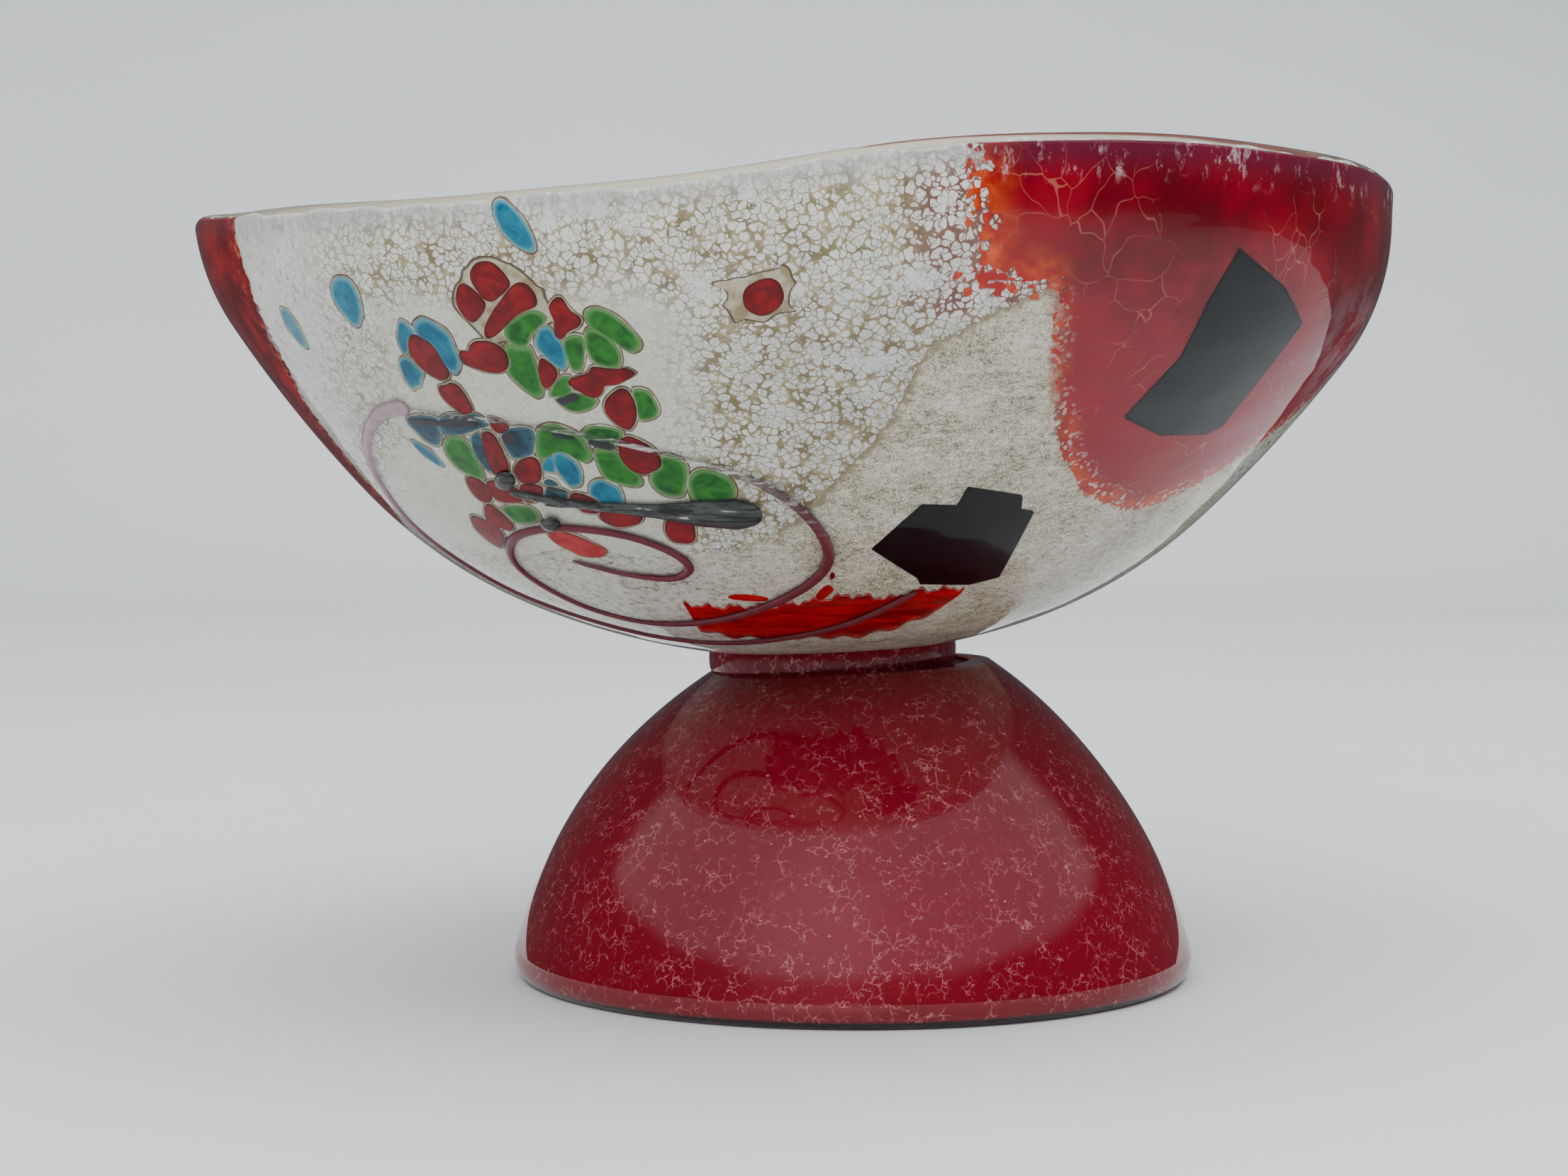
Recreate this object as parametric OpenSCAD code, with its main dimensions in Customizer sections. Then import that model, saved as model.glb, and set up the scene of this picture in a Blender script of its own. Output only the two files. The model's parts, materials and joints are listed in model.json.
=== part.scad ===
// Footed art glass bowl, millimetres.
// A wavy cased bowl with fused glass decoration stands on an upturned ruby dome.
// X runs left to right across the decorated front, which faces -Y. Z is up, the table is Z = 0.

/* [Bowl] */

// Height of the bowl's lowest outside point above the table
bowl_base = 75; // [70:0.5:80]
// Lean of the bowl towards +X
bowl_lean = 1.9; // [0:0.1:3]
// Sideways position of the bowl's lowest point
bowl_x = -3.7; // [-8:0.1:4]
// Radius of the shallow bottom arc
arc_bottom = 165; // [155:1:175]
// Radius of the lower side arc
arc_low = 113; // [105:1:120]
// Radius of the long, nearly straight flank
arc_flank = 290; // [250:5:330]
// Radius of the arc that turns up into the rim
arc_top = 52; // [48:1:56]

/* [Rim wave] */

// Sideways position of the rim's low point
valley_x = -125; // [-130:1:-110]
// Height of the rim's low point, along the bowl's own axis
valley_z = 172.5; // [168:0.5:176]
// Sideways position of the rim's high point
crest_x = 92; // [80:1:105]
// Height of the rim's high point, along the bowl's own axis
crest_z = 192.3; // [186:0.1:196]
// Radius of the crest
crest_r = 440; // [380:10:520]

/* [Bowl wall] */

// Thickness of the clear outer casing
outer_casing = 1.6; // [1.2:0.1:2]
// Thickness of the white crackle and of the pieces set into it
crackle = 1.0; // [0.6:0.1:1.4]
// Thickness of the beige ground
ground = 0.8; // [0.5:0.1:1.2]
// Thickness of the clear inner casing
inner_casing = 2.6; // [2:0.1:4]
// Height of the clear lip above the crackle
lip = 3.0; // [2:0.5:5]

/* [Trailed glass] */

// Width of the spiral thread
thread_width = 2.2; // [1.4:0.1:3]
// Height of the spiral thread
thread_height = 1.4; // [1:0.1:2]
// Thickness of the clear rod at its bulb
rod_bulb = 4.4; // [3:0.1:5]
// Diameter of the clear bead
bead = 4.6; // [3:0.1:6]

/* [Foot] */

// Sideways position of the foot
foot_x = 14.0; // [8:0.5:18]
// Radius of the foot's side arc
foot_arc = 113.4; // [108:0.2:118]
// Distance of that arc's centre beyond the foot's axis
foot_arc_in = 30.2; // [28:0.2:33]
// Depth of that arc's centre below the table
foot_arc_drop = 21.5; // [19:0.5:24]
// Wall thickness of the foot
foot_wall = 7; // [6:0.5:9]
// Thickness of the foot's clear casing
foot_casing = 2; // [1.5:0.1:2.5]
// Thickness of the foot's silver leaf
foot_leaf = 0.3; // [0.2:0.05:0.5]
// Height of the foot's clear rim
foot_rim = 9; // [7:0.5:12]
// Bevel along both edges of the foot's rim
foot_bevel = 2.2; // [1.5:0.1:2.6]
// Depth of the shallow arch under the foot's rim
foot_arch = 3; // [1:0.5:3]
// Thickness of the foot's closed top
foot_top = 8; // [6:0.5:10]

/* [Collar] */

// Sideways position of the collar
collar_x = 9.2; // [7:0.1:12]
// Radius of the collar
collar_r = 28.5; // [26:0.5:30]
// Height of the foot's top, at the collar
collar_base = 73.2; // [72:0.1:74]
// Slope of the foot's top
collar_slope = 2.0; // [0:0.1:3]

/* [Hidden] */

$fn = 96;
t_crackle = outer_casing;
t_ground = t_crackle + crackle;
t_inner = t_ground + ground;
wall = t_inner + inner_casing;

ruby = [0.50, 0.08, 0.12];
leaf_green = [0.16, 0.50, 0.20];
sky = [0.22, 0.52, 0.64];
deep_blue = [0.12, 0.30, 0.40];
clear = [0.88, 0.91, 0.90, 0.35];
amethyst = [0.42, 0.18, 0.24];
black = [0.10, 0.11, 0.12];

// Chips, uppermost first: name, then the outline of each of its pieces, corners across and up.
CHIPS = [
    ["red_chip_alone", [[-4, 159], [-5.5, 158.5], [-9, 156.5], [-9.5, 154], [-9, 152.5], [-6, 151.5],
        [-3, 152.5], [-1.5, 153.5], [-1, 155], [-2.5, 158]]],
    ["red_chip_trio_top", [[-65, 157.5], [-61, 152], [-56, 156.5], [-60, 160.5], [-62, 161], [-64, 160.5]]],
    ["red_chip_trio_left", [[-61.5, 152], [-63.5, 155], [-66.5, 156.5], [-67.5, 155.5], [-68, 153],
        [-66, 149], [-64, 148]]],
    ["red_chip_trio_long", [[-59, 146.5], [-55.5, 150], [-51, 152], [-51, 154.5], [-52.5, 156.5],
        [-54.5, 157], [-56, 156], [-57.5, 154.5], [-62, 148], [-62, 146.5], [-61.5, 145.5]]],
    ["red_chip_propeller", [[-48.5, 151.5], [-47, 149], [-47, 146], [-45.5, 144.9], [-44.5, 147],
        [-42, 148.5], [-41.5, 149.5], [-42, 150], [-44, 151], [-45.5, 153.5], [-47.5, 153.5]]],
    ["red_chip_tail", [[-58, 143], [-61, 144.5], [-64.5, 144.5], [-65.5, 142.5], [-68, 143],
        [-67.8, 140.4], [-66, 140], [-61.5, 138.5], [-58, 138.5], [-57, 140]]],
    ["red_chip_star", [[-33, 140.5], [-36, 140], [-39.5, 140.5], [-40, 140], [-40, 139], [-43.5, 138],
        [-44.5, 136.5], [-39, 134], [-37, 135.5], [-37, 136.5], [-33.5, 137.5], [-30.5, 139],
        [-30.5, 139.5]]],
    ["red_chip_wedge", [[-51, 138], [-50, 136], [-49, 135.5], [-46.5, 139], [-49, 141.5], [-51, 142]]],
    ["red_chip_round", [[-30.5, 129.5], [-30.2, 132.5], [-32, 135.5], [-34.5, 136], [-37, 133.5],
        [-37.5, 132], [-35.5, 129.5], [-31.5, 127.5]]],
    ["red_chip_on_blue", [[-79, 142.5], [-77, 140], [-73, 137], [-70.5, 137], [-70, 138], [-70.5, 139.5],
        [-74, 144.8], [-78, 146], [-78.7, 145.7]]],
    ["red_chip_link", [[-72, 132.5], [-68.5, 130], [-66, 130], [-65, 130.5], [-67.5, 135], [-69, 136],
        [-73, 135.5]]],
    ["red_chip_dark_round", [[-26.5, 124], [-31.5, 126.5], [-34, 125.5], [-34.5, 124.5], [-34, 121.5],
        [-33, 120.5], [-30, 118.5], [-27.3, 118.8], [-25, 121]]],
    ["red_chip_bright", [[-38, 102], [-48.5, 105.5], [-50, 105.5], [-50.5, 104.5], [-48, 102],
        [-44, 100], [-39, 100], [-38, 100.5], [-37.5, 101]]],
    ["red_chip_cube", [[-22, 110.5], [-18.5, 110.5], [-17, 111], [-17, 112], [-22, 112], [-23, 111.5]],
        [[-18.5, 108.5], [-20.5, 109], [-24.5, 109], [-25, 107], [-23.5, 104.5], [-22, 104], [-18, 104]]],
    ["red_chip_low", [[-58.5, 106.5], [-62, 110], [-64.5, 110], [-64.5, 108], [-63, 105.5], [-59, 104.5],
        [-58, 105.5]], [[-60, 104.5], [-64, 107.6], [-68, 108], [-66.5, 104], [-61, 100]]],
    ["red_chip_rod_under", [[-41, 113.5], [-44.5, 114], [-45, 113], [-42.5, 110], [-40, 109.5],
        [-36.3, 110.6]], [[-37, 107.5], [-33.5, 107], [-30, 108], [-29.5, 110], [-36.9, 111.4],
        [-38, 110.5], [-39, 109.5]]],
    ["red_butterfly", [[-61, 126.5], [-60, 126], [-57.5, 127], [-57.5, 127.5], [-62, 129.5]],
        [[-62.5, 118], [-61, 117], [-57.5, 118], [-61, 126], [-62.5, 126.5], [-64.2, 125.7]],
        [[-52.9, 121.8], [-56, 120], [-57, 118], [-56, 116], [-51.8, 115.2], [-51, 116.5],
        [-51.5, 120.5]], [[-56.3, 113], [-55.2, 111.3], [-53.5, 111], [-51.5, 112], [-50.2, 114.1],
        [-50.4, 115.6], [-56, 115.5]], [[-66.5, 112.5], [-65, 111], [-63, 110.5], [-62, 112],
        [-62.5, 113.5], [-66.6, 116.8], [-68.5, 116]], [[-62, 111.5], [-58, 111], [-55, 111.5],
        [-57, 114.5], [-60, 114.5], [-61.5, 116], [-64, 115.5]]],
    ["green_chip_crescent", [[-51, 151.5], [-52.9, 151.3], [-57.3, 148.6], [-58, 147], [-57.8, 144.8],
        [-55.5, 143.5], [-54, 143.5], [-53, 144.5], [-52, 146.5], [-48.5, 149.5]]],
    ["green_chip_upper_right", [[-29.5, 145], [-30, 146.5], [-34.5, 150.5], [-38, 152], [-41, 151.5],
        [-41.5, 150], [-40, 148], [-32, 143.5], [-30, 144]], [[-33.5, 142.5], [-35.3, 145.7],
        [-38, 147.5], [-41, 147.5], [-41.5, 145.5], [-39, 141], [-37.5, 140.5], [-34, 140]]],
    ["green_chip_right_mid", [[-41, 145.5], [-41.5, 146.5], [-44.5, 146], [-45.5, 145.5], [-44, 139.5],
        [-41.5, 139]]],
    ["green_chip_long", [[-49.5, 135], [-52, 143], [-52.5, 144], [-55.1, 143.8], [-57.4, 145.1],
        [-58, 144], [-57, 142], [-57.5, 138.5], [-53, 134], [-51, 133.5]]],
    ["green_chip_edge", [[-30.8, 133], [-30, 130], [-26.5, 130], [-25.5, 132], [-27.5, 135],
        [-28.5, 136], [-31.5, 136]]],
    ["green_chip_pair", [[-44.9, 134.2], [-43.8, 134.8], [-45, 137], [-44, 138], [-45.5, 138.5],
        [-47, 137.5], [-49, 134]], [[-44.5, 131], [-42.5, 131], [-40.5, 131.5], [-38.5, 133.5],
        [-44.4, 136.2], [-47.5, 133.5]]],
    ["green_chip_low_left", [[-67.5, 124], [-70.6, 125.3], [-72, 124.5], [-72.5, 121.5], [-70.5, 118.5],
        [-64.5, 115.5], [-63.5, 116.5]]],
    ["green_chip_centre", [[-41.7, 126.1], [-44, 127], [-49, 128.5], [-51.5, 127], [-52.8, 121.9],
        [-51, 120.5], [-47, 123], [-42, 120], [-40, 121.5]]],
    ["green_chip_thread_side", [[-41.3, 124.4], [-36.5, 124.5], [-33.5, 126], [-33, 127], [-36, 128],
        [-40, 128], [-43.1, 126.5]]],
    ["green_chip_beside", [[-37, 117.5], [-32, 115.5], [-29.5, 116.5], [-29.5, 117.5], [-33, 120],
        [-34.5, 123], [-39, 123.5], [-40, 123]]],
    ["green_chip_right", [[-20.5, 121], [-22.5, 122.5], [-25.5, 122.5], [-25.6, 120.8], [-28, 118.5],
        [-27.5, 117], [-25, 114.5], [-23.5, 114], [-20.5, 114.5]]],
    ["green_chip_end", [[-20, 117.5], [-19, 113], [-15, 112], [-10.5, 113], [-10, 116.5], [-12.5, 119],
        [-17.5, 120], [-19, 119]]],
    ["green_chip_pale", [[-57.5, 106.5], [-55.5, 106.5], [-51.5, 107.5], [-53, 110], [-54.5, 110.5],
        [-61, 110]]],
    ["blue_chip_near_rim", [[-51, 164], [-52.5, 168], [-57.5, 173], [-59, 173], [-60.5, 172], [-59, 168],
        [-56.5, 165], [-54, 163], [-51.5, 162.5]]],
    ["blue_chip_left", [[-89.5, 148], [-89, 150.5], [-90.5, 155.5], [-92, 157], [-93.5, 157.5],
        [-95, 157], [-96, 155.5], [-96, 153.5], [-95, 151.5], [-90.5, 147]]],
    ["blue_sliver_left", [[-108.5, 147.5], [-106.5, 145], [-105, 143], [-104, 142.5], [-103, 143],
        [-106.5, 150], [-108.5, 151], [-109.5, 151]]],
    ["blue_chip_mid", [[-45, 139.5], [-45, 142.5], [-46, 145.5], [-48, 147.5], [-49, 148], [-50, 147.5],
        [-51.5, 145.5], [-51.5, 144], [-47.5, 140.5]]],
    ["blue_chip_fan", [[-67.5, 141], [-69.5, 145.5], [-74.5, 149], [-76, 149.5], [-77, 148.5],
        [-77.5, 147.5], [-77, 146], [-74, 144.5], [-70, 138.5], [-68, 138]], [[-78.5, 145.5],
        [-77.5, 146], [-80, 149], [-81, 148], [-81.5, 144], [-80, 141]], [[-78, 135], [-77, 135],
        [-76, 138], [-79.5, 141.5], [-81, 141], [-81.5, 139.5], [-80.5, 136.5], [-78.5, 134]]],
    ["blue_sliver_low", [[-74.5, 118.5], [-73, 118.5], [-75, 121], [-79, 123.5], [-80.5, 123.5]]],
    ["blue_chip_deep", [[-57, 127.5], [-60, 125.5], [-57, 120.5], [-53, 121.5], [-52.5, 122],
        [-52, 127.5]], [[-64, 126], [-66, 125.5], [-66.5, 124.5], [-66, 122.5], [-63, 117.5],
        [-62, 117.5]]],
    ["blue_chip_dark_left", [[-75.5, 123], [-74, 122.5], [-73.5, 123.5], [-73.5, 129], [-78.5, 129],
        [-81.5, 128]]],
    ["blue_chip_dark_mid", [[-65, 130], [-66.5, 129], [-70.5, 130], [-73.8, 128.5], [-73.8, 125.9],
        [-72.5, 125], [-68, 125], [-62, 127], [-62, 128]], [[-46.5, 111], [-45.5, 114], [-51.7, 115.7],
        [-51, 111]], [[-49, 117], [-51, 116], [-50.5, 115.5], [-46.5, 115]]],
    ["blue_chip_low_mid", [[-51, 119.5], [-51, 118.5], [-48, 118], [-48.4, 122.3]], [[-42.5, 120],
        [-47, 122.5], [-48.2, 122.7], [-48.5, 120], [-45.5, 116], [-44.5, 115], [-42, 115.5]]],
    ["blue_chip_rod_end", [[-34, 114.5], [-35, 116], [-38, 117], [-40.5, 116], [-40.5, 113.5],
        [-37.7, 110.4], [-33, 111.5]]],
];

UPPER_TILE = [[92.5, 169.5], [104.5, 162], [110, 155], [94.5, 132.5], [90.5, 130.5], [79.5, 130],
    [70.5, 133.5], [81.5, 146.5], [86.5, 158.5]];
LOWER_TILE = [[38.5, 118], [50.5, 116.5], [50.5, 113.5], [53.5, 113], [47.5, 98], [41, 96.2],
    [30, 96.2], [29.5, 97.5], [19, 104], [29, 114], [36.5, 114]];
STRIP = [[-21, 90], [-15, 89.5], [-2, 90], [15, 93.5], [24, 93], [30, 95], [40, 95.5], [35.5, 90],
    [26, 85], [17, 82.5], [-10, 81.5], [-17.5, 83]];
HALO = [[-15, 156.5], [-13, 156.5], [-12, 155.5], [-12, 154], [-13.5, 153], [-12, 152.5],
[-10.5, 149.5], [-10, 150.5], [-8, 151], [-5.5, 150.5], [-3, 152], [1.5, 152.5], [-0.5, 154],
[-0.5, 157], [1, 158], [-1.5, 161], [-8.5, 158.5], [-15.5, 157.5]];
PANEL = [[31, 200], [33.5, 184], [31.5, 176], [34.5, 168], [32, 160], [33.5, 156], [40, 157],
    [46, 156.5], [52.5, 156], [53, 147], [52, 140], [56.5, 125.5], [63, 117], [75.5, 113],
    [83.5, 116], [97, 125], [114, 142], [124, 155], [150, 168], [150, 200]];
BAND = [[-150, 200], [-120.5, 200], [-121, 167], [-119.5, 156.5], [-117, 147], [-113, 138],
    [-108, 129], [-102, 122], [-115, 110], [-150, 140]];
SILVER = [[27, 146], [34, 149.5], [46, 156.5], [60, 156], [60, 118], [92, 121.5], [110, 122],
    [110, 70], [-85, 70], [-72, 95], [-65, 97], [-55, 99], [-45, 103], [-30, 99.5], [-19, 101.5],
    [-7, 103.5], [3.5, 110.5], [16, 124.5], [23.5, 134.5]];

// Thread paths across and up the front.
OUTER_RUN = [[29.5, 95], [15.5, 87], [-1, 82], [-17, 80.3], [-35, 82.3], [-58, 89], [-74, 97.5],
    [-84, 105.5], [-90.5, 116], [-91, 124], [-86.5, 129.5], [-80, 131]];
INNER_RUN = [[-78, 129.8], [-60, 128.8], [-44.5, 127.2], [-33, 125.2], [-15, 121.2], [-3, 117],
    [6, 110.5], [10, 103], [7, 97], [-2, 91], [-14, 86.5], [-28, 84.9], [-42, 87.6], [-54, 93.5],
    [-59, 99], [-57, 104], [-47, 106.4], [-34, 105.6], [-24, 102.6], [-19.5, 99], [-23, 96.3],
    [-33, 96.6], [-45, 99]];
ROD = [[-54, 112.8], [-44, 112], [-33, 111.4], [-21, 111], [-11, 111], [-4.5, 111.4]];

// Side arcs of the bowl: radius and end angle measured from straight down.
ARCS = [[arc_bottom, 20], [arc_low, 45], [arc_flank, 54.5], [arc_top, 90]];
function arc_start(i) = i == 0 ? 0 : ARCS[i - 1][1];
function arc_centre(i) = i == 0 ? [0, bowl_base + arc_bottom]
    : arc_centre(i - 1) + (ARCS[i - 1][0] - ARCS[i][0]) * [sin(arc_start(i)), -cos(arc_start(i))];
CENTRES = [for (i = [0:3]) arc_centre(i)];
function arc_end(i) = CENTRES[i] + ARCS[i][0] * [sin(ARCS[i][1]), -cos(ARCS[i][1])];
side_r = arc_end(3)[0];
side_z = arc_end(3)[1];
function arc_of(z) = z < arc_end(0)[1] ? 0 : z < arc_end(1)[1] ? 1 : z < arc_end(2)[1] ? 2 : 3;
function radius_at(z) = z >= side_z ? side_r
    : let (i = arc_of(z)) CENTRES[i][0] + sqrt(pow(ARCS[i][0], 2) - pow(z - CENTRES[i][1], 2));

// A point on the front of the bowl, and the outward direction there.
function on_front(p) = let (r = radius_at(p[1])) [p[0], -sqrt(max(0, r * r - p[0] * p[0])), p[1]];
function outward(p) = let (q = on_front(p), r = norm([q[0], q[1]]), i = arc_of(p[1]),
    n = [r - CENTRES[i][0], p[1] - CENTRES[i][1]] / ARCS[i][0]) [q[0] / r * n[0], q[1] / r * n[0], n[1]];

// The rim is a valley arc and a crest arc that meet on a common tangent.
valley_r = pow(crest_x - valley_x, 2) / (2 * (crest_z - valley_z)) - crest_r;
join_x = crest_x - (crest_x - valley_x) * crest_r / (crest_r + valley_r);

module in_place() translate([bowl_x, 0, bowl_base]) rotate([0, bowl_lean, 0])
    translate([0, 0, -bowl_base]) children();

// The bowl's side curve at a depth from the outside, as short straight steps.
STEPS = [4, 5, 3, 5];
function side(t) = concat(
    [for (i = [0:3], k = [0:STEPS[i] - 1])
        let (a = arc_start(i) + (ARCS[i][1] - arc_start(i)) * k / STEPS[i])
        CENTRES[i] + (ARCS[i][0] - t) * [sin(a), -cos(a)]],
    [[side_r - t, side_z], [side_r - t, side_z + 30]]);
function reversed(v) = [for (i = [len(v) - 1:-1:0]) v[i]];
module shell(t0, t1) rotate_extrude($fn = 180) polygon(concat(side(t0), reversed(side(t1))));

// A slab along Y that removes everything above the rim curve, lowered by drop.
module above_rim(drop) translate([0, 0, -drop]) rotate([90, 0, 0]) linear_extrude(400, center = true) {
    intersection() {
        translate([valley_x, valley_z + valley_r]) circle(valley_r, $fn = 720);
        translate([-200, 160]) square([205 + join_x, 80]);
    }
    difference() {
        translate([join_x, 160]) square([200 - join_x, 80]);
        translate([crest_x, crest_z - crest_r]) circle(crest_r, $fn = 720);
    }
}

module layer(t0, t1, drop = 0) difference() {
    shell(t0, t1);
    above_rim(drop);
}

// A prism from the front elevation through the front wall, starting at Y = back.
module through_front(back = 0) translate([0, back, 0]) rotate([90, 0, 0])
    linear_extrude(160 + back) children();

// All the pieces of one chip, in front elevation.
module pieces(row) for (i = [1:len(row) - 1]) polygon(row[i]);
module chips_above(n) if (n > 0) for (j = [0:n - 1]) pieces(CHIPS[j]);

// A piece set into the crackle, in front elevation.
module inlaid(back = 0) intersection() {
    layer(t_crackle, t_ground, lip);
    through_front(back) children();
}

module chip(name) {
    n = search([name], CHIPS)[0];
    inlaid() difference() {
        pieces(CHIPS[n]);
        chips_above(n);
    }
}

// A trailed glass run: oval rings carried along a smooth curve through the given points.
function spline(p, i, u) = let (a = p[max(i - 1, 0)], b = p[i], c = p[i + 1],
    d = p[min(i + 2, len(p) - 1)]) 0.5 * (2 * b + (c - a) * u + (2 * a - 5 * b + 4 * c - d) * u * u
    + (3 * b - a - 3 * c + d) * u * u * u);
function curve(p, steps) = [for (i = [0:len(p) - 2], s = [0:steps - 1]) spline(p, i, s / steps),
    p[len(p) - 1]];
function unit(v) = v / norm(v);
module trail(points, half_w, half_h, steps = 4) {
    path = curve(points, steps);
    last = len(path) - 1;
    rings = [for (k = [0:last])
        let (n = outward(path[k]), f = k / last, w = half_w[0] + (half_w[1] - half_w[0]) * f,
            h = half_h[0] + (half_h[1] - half_h[0]) * f, at = on_front(path[k]) + n * (h + 0.05),
            t = unit(on_front(path[min(k + 1, last)]) - on_front(path[max(k - 1, 0)])),
            b = unit(cross(t, n)))
        for (a = [0:45:315]) at + b * w * cos(a) + n * h * sin(a)];
    polyhedron(rings, concat(
        [[for (a = [0:7]) a], [for (a = [7:-1:0]) last * 8 + a]],
        [for (k = [0:last - 1], a = [0:7]) let (c = (a + 1) % 8)
            [k * 8 + a, k * 8 + 8 + a, k * 8 + 8 + c, k * 8 + c]]), convexity = 6);
}

// Bowl layers
module bowl_outer_casing() color(clear) in_place() difference() {
    layer(0, t_inner);
    layer(t_crackle, t_inner + 1, lip);
}
module white_crackle() color([0.82, 0.82, 0.78]) in_place() difference() {
    layer(t_crackle, t_ground, lip);
    through_front(60) polygon(PANEL);
    through_front(60) polygon(BAND);
    through_front(20) polygon(SILVER);
    through_front() {
        polygon(HALO);
        polygon(STRIP);
        chips_above(len(CHIPS));
    }
}
module beige_ground() color([0.58, 0.52, 0.42]) in_place() layer(t_ground, t_inner, lip);
module bowl_inner_casing() color(clear) in_place() layer(t_inner, wall);
module red_panel() color([0.55, 0.02, 0.07]) in_place() inlaid(60) difference() {
    polygon(PANEL);
    polygon(UPPER_TILE);
}
module red_edge_band() color([0.35, 0.03, 0.06]) in_place() inlaid(60) polygon(BAND);
module silver_leaf() color([0.62, 0.60, 0.56]) in_place() difference() {
    inlaid(20) difference() {
        polygon(SILVER);
        polygon(PANEL);
        polygon(LOWER_TILE);
    }
    through_front() {
        polygon(STRIP);
        chips_above(len(CHIPS));
    }
}
module upper_black_tile() color([0.22, 0.26, 0.27]) in_place() inlaid() polygon(UPPER_TILE);
module lower_black_tile() color(black) in_place() inlaid() difference() {
    polygon(LOWER_TILE);
    polygon(STRIP);
}
module red_strip() color([0.65, 0.02, 0.04]) in_place() inlaid() polygon(STRIP);
module beige_halo() color([0.66, 0.58, 0.42]) in_place() inlaid() difference() {
    polygon(HALO);
    pieces(CHIPS[0]);
}
module red_butterfly() color(ruby) in_place() chip("red_butterfly");

// Chips
module blue_chip_near_rim() color(sky) in_place() chip("blue_chip_near_rim");
module blue_chip_left() color(sky) in_place() chip("blue_chip_left");
module blue_sliver_left() color(sky) in_place() chip("blue_sliver_left");
module red_chip_alone() color(ruby) in_place() chip("red_chip_alone");
module red_chip_trio_top() color(ruby) in_place() chip("red_chip_trio_top");
module red_chip_trio_long() color(ruby) in_place() chip("red_chip_trio_long");
module red_chip_trio_left() color(ruby) in_place() chip("red_chip_trio_left");
module red_chip_propeller() color(ruby) in_place() chip("red_chip_propeller");
module green_chip_crescent() color(leaf_green) in_place() chip("green_chip_crescent");
module green_chip_upper_right() color(leaf_green) in_place() chip("green_chip_upper_right");
module green_chip_right_mid() color(leaf_green) in_place() chip("green_chip_right_mid");
module blue_chip_mid() color(sky) in_place() chip("blue_chip_mid");
module red_chip_tail() color(ruby) in_place() chip("red_chip_tail");
module red_chip_star() color(ruby) in_place() chip("red_chip_star");
module red_chip_wedge() color(ruby) in_place() chip("red_chip_wedge");
module green_chip_long() color(leaf_green) in_place() chip("green_chip_long");
module red_chip_round() color(ruby) in_place() chip("red_chip_round");
module green_chip_edge() color(leaf_green) in_place() chip("green_chip_edge");
module green_chip_pair() color(leaf_green) in_place() chip("green_chip_pair");
module red_chip_on_blue() color(ruby) in_place() chip("red_chip_on_blue");
module red_chip_link() color(ruby) in_place() chip("red_chip_link");
module blue_chip_fan() color(sky) in_place() chip("blue_chip_fan");
module blue_sliver_low() color(sky) in_place() chip("blue_sliver_low");
module blue_chip_deep() color(deep_blue) in_place() chip("blue_chip_deep");
module blue_chip_dark_left() color(deep_blue) in_place() chip("blue_chip_dark_left");
module blue_chip_dark_mid() color(deep_blue) in_place() chip("blue_chip_dark_mid");
module green_chip_centre() color(leaf_green) in_place() chip("green_chip_centre");
module green_chip_thread_side() color(leaf_green) in_place() chip("green_chip_thread_side");
module red_chip_dark_round() color(ruby) in_place() chip("red_chip_dark_round");
module green_chip_beside() color(leaf_green) in_place() chip("green_chip_beside");
module green_chip_right() color(leaf_green) in_place() chip("green_chip_right");
module green_chip_end() color(leaf_green) in_place() chip("green_chip_end");
module blue_chip_low_mid() color(sky) in_place() chip("blue_chip_low_mid");
module green_chip_low_left() color(leaf_green) in_place() chip("green_chip_low_left");
module green_chip_pale() color(leaf_green) in_place() chip("green_chip_pale");
module red_chip_low() color(ruby) in_place() chip("red_chip_low");
module blue_chip_rod_end() color(sky) in_place() chip("blue_chip_rod_end");
module red_chip_rod_under() color(ruby) in_place() chip("red_chip_rod_under");
module red_chip_cube() color(ruby) in_place() chip("red_chip_cube");
module red_chip_bright() color(ruby) in_place() chip("red_chip_bright");

// Trailed glass
module spiral_thread_outer() color(amethyst) in_place()
    trail(OUTER_RUN, [thread_width / 2, thread_width * 0.8], [thread_height / 2, thread_height * 0.6]);
module spiral_thread_inner() color(amethyst) in_place()
    trail(INNER_RUN, [thread_width / 3, thread_width / 2], [thread_height / 3, thread_height / 2]);
module clear_rod() color(clear) in_place()
    trail(ROD, [rod_bulb / 4, rod_bulb / 2], [rod_bulb / 6, rod_bulb / 3]);
module clear_bead() color(clear) in_place()
    translate(on_front([-58.5, 117]) + outward([-58.5, 117]) * (bead / 2 + 0.05)) sphere(bead / 2);

// Collar and foot
function foot_r(z, t) = sqrt(pow(foot_arc - t, 2) - pow(z + foot_arc_drop, 2)) - foot_arc_in;
module foot_section(t0, t1, z0, z1 = 90) intersection() {
    translate([-foot_arc_in, -foot_arc_drop]) difference() {
        circle(foot_arc - t0, $fn = 360);
        circle(foot_arc - t1, $fn = 360);
    }
    translate([0, z0]) square([100, z1 - z0]);
}
module above_foot() translate([0, 0, collar_base]) rotate([0, -collar_slope, 0])
    translate([-80, -80, 0]) cube([160, 160, 40]);
module joining_collar() color(clear) difference() {
    translate([collar_x, 0, collar_base + (collar_x - foot_x) * tan(collar_slope)])
        rotate([0, -collar_slope, 0]) cylinder(9, collar_r, collar_r);
    in_place() translate([0, 0, bowl_base + arc_bottom]) sphere(arc_bottom, $fn = 360);
}
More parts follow.
